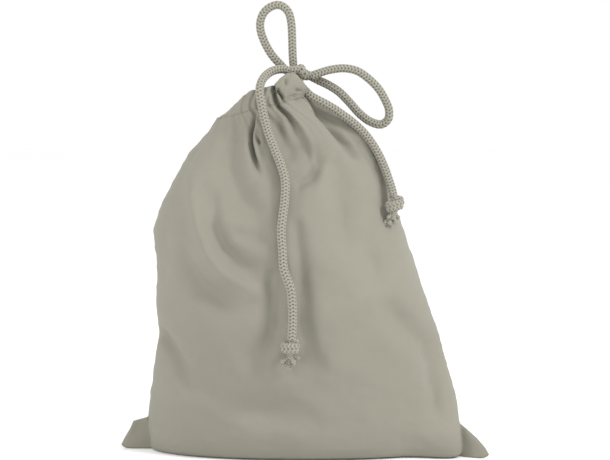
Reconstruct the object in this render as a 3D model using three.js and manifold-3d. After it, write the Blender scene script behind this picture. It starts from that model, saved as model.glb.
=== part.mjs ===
// Drawstring shoe bag, stuffed and standing on its base, with its cord drawn and tied in a bow.
// Millimetres, +Z up. The bag's front faces -Y, +X is its right as seen from the front,
// and the origin is on the floor under the middle of its base.
import * as THREE from 'three';
import { mergeVertices } from 'three/addons/utils/BufferGeometryUtils.js';
import Module from 'manifold-3d';

const wasm = await Module();
wasm.setup();

// ---- sizes of the cloth body ------------------------------------------------------------------
const BODY_WIDTH = 287; // across the stuffed body just above the floor
const BODY_DEPTH = 154; // front to back at the belly
const NECK_HEIGHT = 307.5; // floor to the middle of the ring where the hem begins
const WALL = 1.5; // cloth with its folds
const GAP = 0.3; // clearance between pieces that touch
const EAR_LENGTH = 23; // flattened bottom corner, beyond the body
const EAR_HEIGHT = 29; // floor to the top edge of a bottom corner
const LEFT_EAR_TURN = 8; // how far the left corner points to the back
const RIGHT_EAR_TURN = -42; // how far the right corner points to the front
const EAR_TURN_START = 85; // distance from the middle where a corner starts to turn
const SEAM_WIDTH = 10; // sewn seam allowance inside the body
const SEAM_THICKNESS = 1.6;

// ---- sizes of the hem that holds the cord -----------------------------------------------------
const NECK_WIDTH = 80; // gathered ring at the foot of the hem
const NECK_DEPTH = 52;
const NECK_CENTRE = -40; // sideways place of that ring
const NECK_RISE = 21; // its right end stands this much higher than its left end
const MOUTH_WIDTH = 62; // gathered ring at the top edge of the hem
const MOUTH_DEPTH = 44;
const MOUTH_CENTRE = -36;
const MOUTH_RISE = 17;
const HEM_HEIGHT = 18;
const HEM_WALL = 1.5;
const STITCH_DIAMETER = 0.8;

// ---- sizes of the cord ------------------------------------------------------------------------
const CORD_DIAMETER = 8;
const CORD_SIDES = 10;
const BALL_RINGS = 8;
const CASING_CORD_STEPS = 44;
const CHANNEL_STEP = 20; // degrees between the casing cord's points
const LOOP_STEPS = 34;
const TAIL_STEPS = 36;
const CORD_RADIUS = CORD_DIAMETER / 2;
const CHANNEL_CLEARANCE = 1; // from the cord to the cloth, in the hem
const STRAND_CLEARANCE = 1; // between the cord's two strands in the exit slit, and outside each
const HEM_LEAN = Math.atan2((NECK_WIDTH - MOUTH_WIDTH) / 2 + Math.abs(NECK_CENTRE - MOUTH_CENTRE), HEM_HEIGHT);
const CHANNEL_THICKNESS = (CORD_DIAMETER + 2 * CHANNEL_CLEARANCE) / Math.cos(HEM_LEAN);
const HEM_THICKNESS = CHANNEL_THICKNESS + 2 * HEM_WALL; // both layers and the cord between them
const EXIT_SLIT = 2 * CORD_DIAMETER + 2 * STRAND_CLEARANCE; // open seam at the hem's right end

const LATHE_SEGMENTS = 48;
const SEAM_STEPS = 48;

// ---- places on the cord, hand-chosen in millimetres ---------------------------------------------
// Where the cord's two ends turn up out of the channel: x and z from the middle of its right end,
// and y from where the strands stand side by side.
const EXIT_BEND = [[-2.2, 2.5, 0.5], [0.1, 0.7, 2.4], [0.9, 0, 4.6], [0.9, 0, 7]];
const EXIT_BEND_START = 40; // degrees round the channel where the bend begins
const NECK_STRAND_TOP = 342;

const TOP_LOOP_ROUTE = [
  [-10.8, 8, 355], [-11.4, 7.6, 363], [-11.8, 7, 374], [-12.1, 6.4, 385], [-12.8, 6, 394], [-14.9, 6, 402.3],
  [-18.8, 6, 407.3], [-24.6, 6, 409.8], [-31.6, 6, 408], [-37.6, 6, 402.9], [-40.8, 6.2, 395.4],
  [-41, 6.6, 388], [-38.6, 7, 379.5], [-34.6, 7.4, 370.9], [-29.9, 7.8, 363.6], [-25.4, 8, 358.4],
  [-22, 8, 355],
];
const RIGHT_LOOP_ROUTE = [
  [5, 3.5, 345], [11, 3.4, 347.3], [23.6, 3.2, 351], [36.2, 3, 352.2], [47.8, 3, 349.6], [57.3, 3, 343.3],
  [66.8, 3.2, 333.9], [73.2, 3.6, 323.4], [76.8, 4.4, 314], [76, 5.4, 305.6], [69.8, 6.6, 301],
  [59.6, 8, 303.6], [50, 9.4, 310.8], [40.5, 10.6, 321.3], [31, 11.6, 330.8], [20.5, 12.2, 337.4],
  [12, 12.4, 341.4], [5, 12.4, 345],
];
const FRONT_TAIL_ROUTE = [
  [-14.8, -4.2, 350], [-20.4, -6.4, 351.3], [-29, -11.5, 350], [-35.9, -17.6, 345.3], [-39.9, -24.4, 338.6],
  [-40.8, -29.6, 331], [-39.4, -32.4, 322], [-37.6, -33.6, 312], [-33.4, -37, 296], [-26.9, -44.4, 279.4],
  [-21.5, -50.6, 266.3], [-18, -56.2, 253.9], [-18, -63.2, 237.2], [-20, -69.8, 220.7], [-21.1, -72.8, 210.3],
  [-20.1, -76.8, 193.1], [-18.8, -79.6, 176.7], [-16.3, -80.8, 169.1], [-12.9, -82, 159.9],
  [-11.5, -82.6, 147.4], [-11.1, -82.9, 134.7], [-11.6, -82.9, 122], [-12.2, -82.9, 114.2],
];
const RIGHT_TAIL_ROUTE = [
  [0.4, -5.6, 337.8], [3.2, -8.8, 331.6], [8.8, -10.4, 325.6], [15.5, -10.8, 321.6], [25.3, -10.8, 316.1],
  [34.3, -10.8, 309.9], [44, -10.8, 302.7], [53.7, -11.2, 293.4], [61.1, -12, 283.6], [66.8, -13, 274],
  [71.7, -14.4, 263.3], [75.7, -17, 252], [78.6, -21, 242.6], [80, -25, 236.2],
];

const BOW_KNOT = { centre: [-5, 3, 348.2], reach: [5.4, 6.4, 5.9] };
const BOW_KNOT_BACK = { centre: [-13.6, 8, 346.5], reach: [11.8, 6.9, 4.2] };
const FRONT_END_KNOT = { centre: [-12.8, -83.5, 107.5], reach: [9.4, 7, 6.4] };
const RIGHT_END_KNOT = { centre: [81.4, -30.4, 229.2], reach: [9, 7.2, 6.6] };
const FRAYED_TOP_RADIUS = 3.6;
const FRAYED_FOOT_RADIUS = 6.2;
const FRONT_FRAYED_END = { top: [-12.8, -83, 100.8], length: 12.4 };
const RIGHT_FRAYED_END = { top: [80.8, -31.4, 222.3], length: 9.4 };

// ---- materials --------------------------------------------------------------------------------
const cloth = () => new THREE.MeshStandardMaterial({ color: 0xa3a090, roughness: 0.95, metalness: 0 });
const cord = () => new THREE.MeshStandardMaterial({ color: 0xb3af9e, roughness: 0.85, metalness: 0 });
const thread = () => new THREE.MeshStandardMaterial({ color: 0x8e8a7a, roughness: 0.8, metalness: 0 });

// ---- solids -----------------------------------------------------------------------------------

/** The closed solid that a geometry bounds. */
function toSolid(geometry) {
  const bare = geometry.clone();
  bare.deleteAttribute('normal');
  bare.deleteAttribute('uv');
  const merged = mergeVertices(bare.index ? bare : mergeVertices(bare), 1e-4);
  const corners = [];
  const index = merged.index.array;
  for (let i = 0; i < index.length; i += 3) {
    const [a, b, c] = [index[i], index[i + 1], index[i + 2]];
    if (a !== b && b !== c && c !== a) {
      corners.push(a, b, c);
    }
  }
  const vertProperties = new Float32Array(merged.attributes.position.array);
  return new wasm.Manifold(new wasm.Mesh({ numProp: 3, vertProperties, triVerts: new Uint32Array(corners) }));
}

/** A geometry with a solid's faces. */
function toGeometry(solid) {
  const mesh = solid.getMesh();
  const geometry = new THREE.BufferGeometry();
  geometry.setAttribute('position', new THREE.BufferAttribute(new Float32Array(mesh.vertProperties), 3));
  geometry.setIndex(new THREE.BufferAttribute(new Uint32Array(mesh.triVerts), 1));
  geometry.computeVertexNormals();
  return geometry;
}

/** A box solid between two corners. */
function boxBetween(low, high) {
  const size = high.map((value, axis) => value - low[axis]);
  const box = new THREE.BoxGeometry(...size);
  box.translate(...high.map((value, axis) => (value + low[axis]) / 2));
  return toSolid(box);
}

/** An ellipsoid solid. */
function ball({ centre, reach }) {
  const sphere = new THREE.SphereGeometry(1, 2 * CORD_SIDES, CORD_SIDES);
  sphere.scale(...reach);
  sphere.translate(...centre);
  return toSolid(sphere);
}

/** Turns a lathe's round rings into the rings that place(station, angle) gives, one per profile point. */
function reshapedLathe(stations, closed, place) {
  const ends = closed ? [...stations, stations[0]] : stations;
  const profile = ends.map((_, i) => new THREE.Vector2(1, i));
  const lathe = new THREE.LatheGeometry(profile, LATHE_SEGMENTS);
  const position = lathe.attributes.position;
  for (let i = 0; i < position.count; i += 1) {
    const segment = Math.floor(i / ends.length) % LATHE_SEGMENTS;
    const point = place(ends[i % ends.length], (segment / LATHE_SEGMENTS) * 2 * Math.PI);
    position.setXYZ(i, ...point);
  }
  const solid = toSolid(lathe);
  lathe.dispose();
  return solid;
}

// ---- the body's rings ---------------------------------------------------------------------------

/** One ring of the body: reaches are shares of half the width and half the depth. */
function ring(height, left, right, depth, rise = 0, leftEar = 0, rightEar = 0) {
  return {
    height,
    left: (-left * BODY_WIDTH) / 2,
    right: (right * BODY_WIDTH) / 2,
    depth: (depth * BODY_DEPTH) / 2,
    rise,
    leftEar: leftEar * EAR_LENGTH,
    rightEar: rightEar * EAR_LENGTH,
  };
}

const neckRing = {
  height: NECK_HEIGHT,
  left: NECK_CENTRE - NECK_WIDTH / 2,
  right: NECK_CENTRE + NECK_WIDTH / 2,
  depth: NECK_DEPTH / 2,
  rise: NECK_RISE,
  leftEar: 0,
  rightEar: 0,
};

const BODY_RINGS = [
  ring(0, 0.965, 0.955, 0.6, 0, 0.84, 0.8),
  ring(0.1 * EAR_HEIGHT, 0.99, 0.99, 0.68, 0, 1, 1),
  ring(0.36 * EAR_HEIGHT, 1.005, 0.995, 0.75, 0, 0.88, 0.84),
  ring(0.64 * EAR_HEIGHT, 1.01, 0.99, 0.79, 0, 0.74, 0.6),
  ring(0.92 * EAR_HEIGHT, 1.012, 0.985, 0.82, 0, 0.6, 0.22),
  ring(EAR_HEIGHT, 1.013, 0.98, 0.825),
  ring(0.18 * NECK_HEIGHT, 1.003, 0.962, 0.88),
  ring(0.27 * NECK_HEIGHT, 0.969, 0.906, 0.95),
  ring(0.36 * NECK_HEIGHT, 0.938, 0.85, 0.99),
  ring(0.45 * NECK_HEIGHT, 0.96, 0.787, 1),
  ring(0.525 * NECK_HEIGHT, 0.948, 0.732, 0.985),
  ring(0.6 * NECK_HEIGHT, 0.955, 0.676, 0.95),
  ring(0.673 * NECK_HEIGHT, 0.969, 0.622, 0.885),
  ring(0.72 * NECK_HEIGHT, 0.937, 0.575, 0.83),
  ring(0.807 * NECK_HEIGHT, 0.843, 0.5, 0.69),
  ring(0.898 * NECK_HEIGHT, 0.739, 0.42, 0.52),
  ring(0.962 * NECK_HEIGHT, 0.6, 0.286, 0.41, 8),
  ring(0.986 * NECK_HEIGHT, 0.572, 0.15, 0.365, 15.5),
  neckRing,
];

/** A point on a body ring, this far inside its outer face. The corners reach out only on the outer face. */
function ringPoint(station, inset, angle) {
  const slant = Math.atan2(station.rise, station.right - station.left);
  const halfLength = (station.right - station.left) / 2 / Math.cos(slant) - inset;
  let along = halfLength * Math.cos(angle);
  if (inset === 0 && Math.cos(angle) > 1 - 1e-6) {
    along += station.rightEar;
  }
  if (inset === 0 && Math.cos(angle) < -1 + 1e-6) {
    along -= station.leftEar;
  }
  const across = (station.depth - inset) * Math.sin(angle);
  return [
    (station.left + station.right) / 2 + along * Math.cos(slant),
    across,
    station.height + along * Math.sin(slant),
  ];
}

/** How far the cloth is pushed to the front or back where its bottom corners turn. */
function cornerTurn(x, z) {
  const reach = BODY_WIDTH / 2 + EAR_LENGTH;
  const out = THREE.MathUtils.smoothstep(Math.abs(x), EAR_TURN_START, reach);
  const low = 1 - THREE.MathUtils.smoothstep(z, EAR_HEIGHT / 2, 3 * EAR_HEIGHT);
  return (x < 0 ? LEFT_EAR_TURN : RIGHT_EAR_TURN) * out * low;
}

/** Moves every point of a geometry as the bottom corners turn. */
function turnCorners(geometry) {
  const position = geometry.attributes.position;
  for (let i = 0; i < position.count; i += 1) {
    position.setY(i, position.getY(i) + cornerTurn(position.getX(i), position.getZ(i)));
  }
  geometry.computeVertexNormals();
  return geometry;
}

/** The part of a solid in front of the side seams, or behind them. The seams turn with the corners. */
function half(solid, side) {
  const size = 2 * BODY_WIDTH;
  const block = new THREE.BoxGeometry(size, size, 2 * size, SEAM_STEPS, 1, 2 * SEAM_STEPS);
  block.translate(0, side === 'front' ? -(size + GAP) / 2 : (size + GAP) / 2, 0);
  return solid.intersect(toSolid(turnCorners(block)));
}

/** The whole body: walls and base as one open-topped shell of cloth. */
function bodyShell() {
  const floor = { ...BODY_RINGS[0], height: WALL };
  const inner = BODY_RINGS.slice(1).reverse();
  const stations = [
    { ring: BODY_RINGS[0], inset: Infinity },
    ...BODY_RINGS.map((station) => ({ ring: station, inset: 0 })),
    ...inner.map((station) => ({ ring: station, inset: WALL })),
    { ring: floor, inset: WALL },
    { ring: floor, inset: Infinity },
  ];
  return reshapedLathe(stations, false, ({ ring: station, inset }, angle) =>
    inset === Infinity ? [0, 0, station.height] : ringPoint(station, inset, angle),
  );
}

/** A strip of seam allowance, from an outline seen from the front. */
function seamStrip(outline) {
  const shape = new THREE.Shape(outline.map(([x, z]) => new THREE.Vector2(x, z)));
  const strip = new THREE.ExtrudeGeometry(shape, { depth: SEAM_THICKNESS, bevelEnabled: false });
  strip.rotateX(Math.PI / 2);
  strip.translate(0, SEAM_THICKNESS / 2, 0);
  return turnCorners(mergeVertices(strip));
}

/** The allowance up one side of the body, inside the cloth. */
function sideSeam(angle) {
  const rings = BODY_RINGS.slice(3);
  const at = (station, inset) => {
    const [x, , z] = ringPoint(station, inset, angle);
    return [x, z];
  };
  const outer = rings.map((station) => at(station, WALL + GAP));
  const inner = rings.map((station) => at(station, WALL + GAP + SEAM_WIDTH));
  return seamStrip([...outer, ...inner.reverse()]);
}

/** The allowance along the middle of the base, standing up inside. */
function bottomSeam() {
  const base = BODY_RINGS[0];
  const low = WALL + GAP;
  const high = low + SEAM_WIDTH;
  const left = base.left + SEAM_WIDTH + 2 * WALL;
  const right = base.right - SEAM_WIDTH - 2 * WALL;
  const steps = 16;
  const along = Array.from({ length: steps + 1 }, (_, i) => left + ((right - left) * i) / steps);
  return seamStrip([...along.map((x) => [x, low]), ...along.reverse().map((x) => [x, high])]);
}

// ---- the hem ------------------------------------------------------------------------------------

const mouthRing = {
  height: NECK_HEIGHT + HEM_HEIGHT,
  left: MOUTH_CENTRE - MOUTH_WIDTH / 2,
  right: MOUTH_CENTRE + MOUTH_WIDTH / 2,
  depth: MOUTH_DEPTH / 2,
  rise: MOUTH_RISE,
};

/** The hem's ring at a level from 0 at its foot to 1 at its top edge. */
function hemRing(level) {
  const mixed = { leftEar: 0, rightEar: 0 };
  for (const key of ['height', 'left', 'right', 'depth', 'rise']) {
    mixed[key] = THREE.MathUtils.lerp(neckRing[key], mouthRing[key], level);
  }
  mixed.height += GAP;
  return mixed;
}

/** A ring of closed section between two levels and two depths inside the hem's outer face. */
function hemBand(lowLevel, highLevel, outerInset, innerInset) {
  const section = [
    { level: lowLevel, inset: outerInset },
    { level: (lowLevel + highLevel) / 2, inset: outerInset },
    { level: highLevel, inset: outerInset },
    { level: highLevel, inset: innerInset },
    { level: (lowLevel + highLevel) / 2, inset: innerInset },
    { level: lowLevel, inset: innerInset },
  ];
  return reshapedLathe(section, true, ({ level, inset }, angle) => ringPoint(hemRing(level), inset, angle));
}

/** The open seam at the right end of the hem. */
function exitSlit() {
  const low = [hemRing(0).left / 2, -EXIT_SLIT / 2, 0];
  const high = [BODY_WIDTH, EXIT_SLIT / 2, 2 * NECK_HEIGHT];
  return boxBetween(low, high);
}

/** The folded and sewn hem all round, with the channel for the cord inside it. */
function hem() {
  const wallShare = HEM_WALL / HEM_HEIGHT;
  const channel = hemBand(wallShare, 1 - wallShare, HEM_WALL, HEM_THICKNESS - HEM_WALL);
  return hemBand(0, 1, 0, HEM_THICKNESS).subtract(channel).subtract(exitSlit());
}

/** The line of stitches that holds the hem down, just proud of its outer face. */
function hemStitching() {
  const level = (2 * HEM_WALL) / HEM_HEIGHT;
  const rise = STITCH_DIAMETER / HEM_HEIGHT;
  return hemBand(level, level + rise, -GAP - STITCH_DIAMETER, -GAP).subtract(exitSlit());
}

/** The bar of close stitches across the foot of the exit slit. */
function exitBartack() {
  const end = neckRing.right;
  const foot = NECK_HEIGHT + NECK_RISE / 2 + 2 * GAP;
  const bar = new THREE.BoxGeometry(2 * CORD_RADIUS, EXIT_SLIT - 2 * GAP, HEM_WALL);
  bar.rotateY(-Math.atan2(NECK_RISE, NECK_WIDTH));
  bar.translate(end - CORD_RADIUS, 0, foot);
  return bar;
}

// ---- the cord -----------------------------------------------------------------------------------

/** A smooth curve through a route's points. */
function curveThrough(route) {
  return new THREE.CatmullRomCurve3(route.map((point) => new THREE.Vector3(...point)), false, 'centripetal');
}

/** A cord of round section along a route. */
function cordAlong(route, steps) {
  const corners = Array.from({ length: CORD_SIDES }, (_, i) => {
    const angle = (i / CORD_SIDES) * 2 * Math.PI;
    return new THREE.Vector2(CORD_RADIUS * Math.cos(angle), CORD_RADIUS * Math.sin(angle));
  });
  const section = new THREE.Shape(corners);
  return new THREE.ExtrudeGeometry(section, { steps, extrudePath: curveThrough(route), bevelEnabled: false });
}

/** The rounded end of a cord where it bends out of the bow. */
function roundEnd(point) {
  const end = new THREE.SphereGeometry(CORD_RADIUS, CORD_SIDES, BALL_RINGS);
  end.translate(...point);
  return toSolid(end);
}

/** A loop of the bow: its cord with both its ends rounded. */
function bowLoop(route) {
  const strand = toSolid(cordAlong(route, LOOP_STEPS));
  return toGeometry(strand.add(roundEnd(route[0])).add(roundEnd(route[route.length - 1])));
}

/** A free tail of the cord, rounded where it leaves the bow. */
function cordTail(route) {
  return toGeometry(toSolid(cordAlong(route, TAIL_STEPS)).add(roundEnd(route[0])));
}

const strandOffset = CORD_RADIUS + STRAND_CLEARANCE / 2;

/** The cord inside the hem, with both its ends turned up in the exit slit. */
function casingCord() {
  const middle = hemRing(0.5);
  const [x, , z] = ringPoint(middle, HEM_THICKNESS / 2, 0);
  const bend = EXIT_BEND.map(([dx, dy, dz]) => [x + dx, strandOffset + dy, z + dz]);
  const round = [];
  for (let angle = EXIT_BEND_START; angle <= 360 - EXIT_BEND_START; angle += CHANNEL_STEP) {
    round.push(ringPoint(middle, HEM_THICKNESS / 2, THREE.MathUtils.degToRad(angle)));
  }
  const back = [...bend].reverse();
  const front = bend.map(([px, py, pz]) => [px, -py, pz]);
  return cordAlong([...back, ...round, ...front], CASING_CORD_STEPS);
}

/** One of the two short strands that rise out of the exit slit to the bow. */
function neckStrand(side) {
  const [x, , z] = ringPoint(hemRing(0.5), HEM_THICKNESS / 2, 0);
  const [dx, , dz] = EXIT_BEND[EXIT_BEND.length - 1];
  const length = NECK_STRAND_TOP - (z + dz + GAP);
  const strand = new THREE.CylinderGeometry(CORD_RADIUS, CORD_RADIUS, length, CORD_SIDES);
  strand.rotateX(Math.PI / 2);
  strand.translate(x + dx, side * strandOffset, NECK_STRAND_TOP - length / 2);
  return strand;
}

/** The frayed tuft of yarn below an end knot. */
function frayedEnd({ top, length }) {
  const tuft = new THREE.CylinderGeometry(FRAYED_TOP_RADIUS, FRAYED_FOOT_RADIUS, length, CORD_SIDES);
  tuft.rotateX(Math.PI / 2);
  tuft.translate(top[0], top[1], top[2] - length / 2);
  return tuft;
}

// ---- the bag ------------------------------------------------------------------------------------

const bag = new THREE.Group();

/** Adds a named piece to the bag. */
function addPiece(name, geometry, material) {
  const mesh = new THREE.Mesh(geometry, material);
  mesh.name = name;
  bag.add(mesh);
}

const shell = toSolid(turnCorners(toGeometry(bodyShell())));
const hemRound = hem();
const stitches = hemStitching();
for (const side of ['front', 'back']) {
  addPiece(`${side}_panel`, toGeometry(half(shell, side)), cloth());
  addPiece(`${side}_hem`, toGeometry(half(hemRound, side)), cloth());
  addPiece(`${side}_hem_stitching`, toGeometry(half(stitches, side)), thread());
}
addPiece('right_side_seam', sideSeam(0), cloth());
addPiece('left_side_seam', sideSeam(Math.PI), cloth());
addPiece('bottom_seam', bottomSeam(), cloth());
addPiece('exit_bartack', exitBartack(), thread());

addPiece('casing_cord', casingCord(), cord());
addPiece('front_neck_strand', neckStrand(-1), cord());
addPiece('back_neck_strand', neckStrand(1), cord());
addPiece('bow_knot', toGeometry(ball(BOW_KNOT).add(ball(BOW_KNOT_BACK))), cord());
addPiece('top_loop', bowLoop(TOP_LOOP_ROUTE), cord());
addPiece('right_loop', bowLoop(RIGHT_LOOP_ROUTE), cord());
addPiece('front_tail', cordTail(FRONT_TAIL_ROUTE), cord());
addPiece('right_tail', cordTail(RIGHT_TAIL_ROUTE), cord());
addPiece('front_end_knot', toGeometry(ball(FRONT_END_KNOT)), cord());
addPiece('right_end_knot', toGeometry(ball(RIGHT_END_KNOT)), cord());
addPiece('front_frayed_end', frayedEnd(FRONT_FRAYED_END), cord());
addPiece('right_frayed_end', frayedEnd(RIGHT_FRAYED_END), cord());

export default bag;
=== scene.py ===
"""A stuffed cotton shoe bag, closed with a thick knitted drawstring that is tied in a bow.

Everything is in metres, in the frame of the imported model: +Z is up, the bag's front is
towards -Y and its bottom lies on z = 0.
"""

import logging
import math
from dataclasses import dataclass, field
from enum import Enum
from typing import Callable, Sequence

import bpy
import numpy as np
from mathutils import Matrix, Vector


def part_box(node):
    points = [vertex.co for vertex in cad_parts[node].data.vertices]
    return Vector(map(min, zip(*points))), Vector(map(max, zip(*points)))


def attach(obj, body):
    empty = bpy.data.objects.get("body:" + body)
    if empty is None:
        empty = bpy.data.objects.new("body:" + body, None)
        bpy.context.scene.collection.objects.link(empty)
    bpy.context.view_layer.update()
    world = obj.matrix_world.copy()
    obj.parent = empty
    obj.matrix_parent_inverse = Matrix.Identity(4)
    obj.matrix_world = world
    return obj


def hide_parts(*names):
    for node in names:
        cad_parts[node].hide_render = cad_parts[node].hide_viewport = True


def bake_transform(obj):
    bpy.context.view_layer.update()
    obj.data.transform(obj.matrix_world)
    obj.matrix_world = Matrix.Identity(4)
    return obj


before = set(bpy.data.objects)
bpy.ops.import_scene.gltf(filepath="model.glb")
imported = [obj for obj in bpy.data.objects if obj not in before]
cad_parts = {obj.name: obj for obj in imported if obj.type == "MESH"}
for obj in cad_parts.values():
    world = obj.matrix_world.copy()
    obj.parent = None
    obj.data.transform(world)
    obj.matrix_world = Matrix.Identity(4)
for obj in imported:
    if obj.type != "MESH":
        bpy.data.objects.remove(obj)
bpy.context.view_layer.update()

LOG = logging.getLogger("shoe_bag")
Point = tuple[float, float, float]
Stroke = Sequence[tuple[float, float, float, float]]
Inputs = dict[str | int, object]
TO_FRONT: Point = (0.0, -1.0, 0.0)


# ---------------------------------------------------------------- small tools


def smooth_step(value: np.ndarray, low: float, high: float) -> np.ndarray:
    """Rise smoothly from 0 at low to 1 at high."""
    t = np.clip((np.asarray(value, float) - low) / (high - low), 0.0, 1.0)
    return t * t * (3.0 - 2.0 * t)


def unit(vectors: np.ndarray) -> np.ndarray:
    """Scale each vector of an array to length 1."""
    return vectors / np.maximum(np.linalg.norm(vectors, axis=-1, keepdims=True), 1e-12)


def arc_lengths(points: np.ndarray) -> np.ndarray:
    """Give the distance along a line of points at each of them."""
    return np.concatenate([[0.0], np.cumsum(np.linalg.norm(np.diff(points, axis=0), axis=1))])


def smooth_route(points: Sequence[Point], step: float) -> np.ndarray:
    """Lead a centripetal Catmull-Rom curve through chosen points.

    Args:
        points: The points that the curve passes through.
        step: The distance between the points that come back.

    Returns:
        Evenly spaced points along the curve.
    """
    p = np.array(points, float)
    p = np.vstack([2 * p[0] - p[1], p, 2 * p[-1] - p[-2]])
    pieces = []
    for i in range(1, len(p) - 2):
        knots = [0.0]
        for j in range(3):
            knots.append(knots[-1] + math.sqrt(np.linalg.norm(p[i + j] - p[i + j - 1])))
        t0, t1, t2, t3 = knots
        t = np.linspace(t1, t2, 24, endpoint=False)[:, None]
        a1 = (t1 - t) / (t1 - t0) * p[i - 1] + (t - t0) / (t1 - t0) * p[i]
        a2 = (t2 - t) / (t2 - t1) * p[i] + (t - t1) / (t2 - t1) * p[i + 1]
        a3 = (t3 - t) / (t3 - t2) * p[i + 1] + (t - t2) / (t3 - t2) * p[i + 2]
        b1 = (t2 - t) / (t2 - t0) * a1 + (t - t0) / (t2 - t0) * a2
        b2 = (t3 - t) / (t3 - t1) * a2 + (t - t1) / (t3 - t1) * a3
        pieces.append((t2 - t) / (t2 - t1) * b1 + (t - t1) / (t2 - t1) * b2)
    line = np.vstack([*pieces, p[-2][None]])
    along = arc_lengths(line)
    count = max(2, int(round(along[-1] / step)) + 1)
    even = np.linspace(0.0, along[-1], count)
    return np.column_stack([np.interp(even, along, line[:, k]) for k in range(3)])


def carried_frames(line: np.ndarray, hint: Point) -> tuple[np.ndarray, np.ndarray]:
    """Carry a pair of cross directions along a line without twist.

    Args:
        line: Points along the line.
        hint: The direction that the first pair's first vector is nearest to.

    Returns:
        Two arrays of unit vectors square to the line.
    """
    tangents = unit(np.gradient(line, axis=0))
    first = np.array(hint, float)
    sides = np.zeros_like(line)
    for i, tangent in enumerate(tangents):
        first = first - tangent * first.dot(tangent)
        first /= np.linalg.norm(first)
        sides[i] = first
    return sides, np.cross(tangents, sides)


def link(piece: bpy.types.Object) -> bpy.types.Object:
    """Put an object in the scene's collection."""
    bpy.context.scene.collection.objects.link(piece)
    return piece


def mesh_piece(
    name: str,
    points: np.ndarray,
    faces: Sequence[Sequence[int]],
    material: bpy.types.Material,
    attributes: dict[str, np.ndarray] | None = None,
) -> bpy.types.Object:
    """Make one smooth-shaded mesh object.

    Args:
        name: The piece's name.
        points: Its vertices.
        faces: Its faces as vertex numbers.
        material: Its finish.
        attributes: Values per vertex that the finish reads, scalars or vectors by name.

    Returns:
        The object, linked into the scene.
    """
    mesh = bpy.data.meshes.new(name)
    mesh.from_pydata(np.asarray(points, float).tolist(), [], [list(f) for f in faces])
    for key, values in (attributes or {}).items():
        values = np.asarray(values, np.float32)
        kind = "FLOAT" if values.ndim == 1 else "FLOAT_VECTOR"
        layer = mesh.attributes.new(key, kind, "POINT")
        layer.data.foreach_set("value" if kind == "FLOAT" else "vector", values.ravel())
    mesh.polygons.foreach_set("use_smooth", [True] * len(mesh.polygons))
    mesh.update()
    mesh.materials.append(material)
    return link(bpy.data.objects.new(name, mesh))


def grid_faces(rows: int, columns: int, start: int = 0, around: bool = False) -> list[tuple[int, ...]]:
    """List the quads of a grid of points stored row by row.

    Args:
        rows: How many rows of points there are.
        columns: How many points each row has.
        start: The number of the first point.
        around: Whether each row's last point joins its first.

    Returns:
        The quads.
    """
    wide = columns if around else columns - 1
    i, j = np.meshgrid(np.arange(rows - 1), np.arange(wide), indexing="ij")
    here = start + i * columns + j
    right = start + i * columns + (j + 1) % columns
    quads = np.stack([here, right, right + columns, here + columns], axis=-1).reshape(-1, 4)
    return [tuple(q) for q in quads.tolist()]


def noise_field(seed: int, count: int, shortest: float, longest: float) -> Callable[..., np.ndarray]:
    """Make a smooth random field of summed waves.

    Args:
        seed: What the waves are drawn from.
        count: How many waves there are.
        shortest: The shortest wavelength.
        longest: The longest wavelength.

    Returns:
        A function of two coordinate arrays with values around -1 to 1.
    """
    rng = np.random.default_rng(seed)
    waves = []
    for _ in range(count):
        length = shortest * (longest / shortest) ** rng.random()
        angle = rng.random() * math.tau
        phase = rng.random() * math.tau
        waves.append((math.tau / length * math.cos(angle), math.tau / length * math.sin(angle), phase))

    def field_at(x: np.ndarray, y: np.ndarray) -> np.ndarray:
        """Add the waves up.

        Args:
            x: The places' first coordinates.
            y: The places' second coordinates.

        Returns:
            The field there.
        """
        total = np.zeros(np.broadcast(x, y).shape)
        for kx, ky, phase in waves:
            total = total + np.sin(kx * x + ky * y + phase)
        return total / math.sqrt(count)

    return field_at


# ---------------------------------------------------------------- finishes


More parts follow.
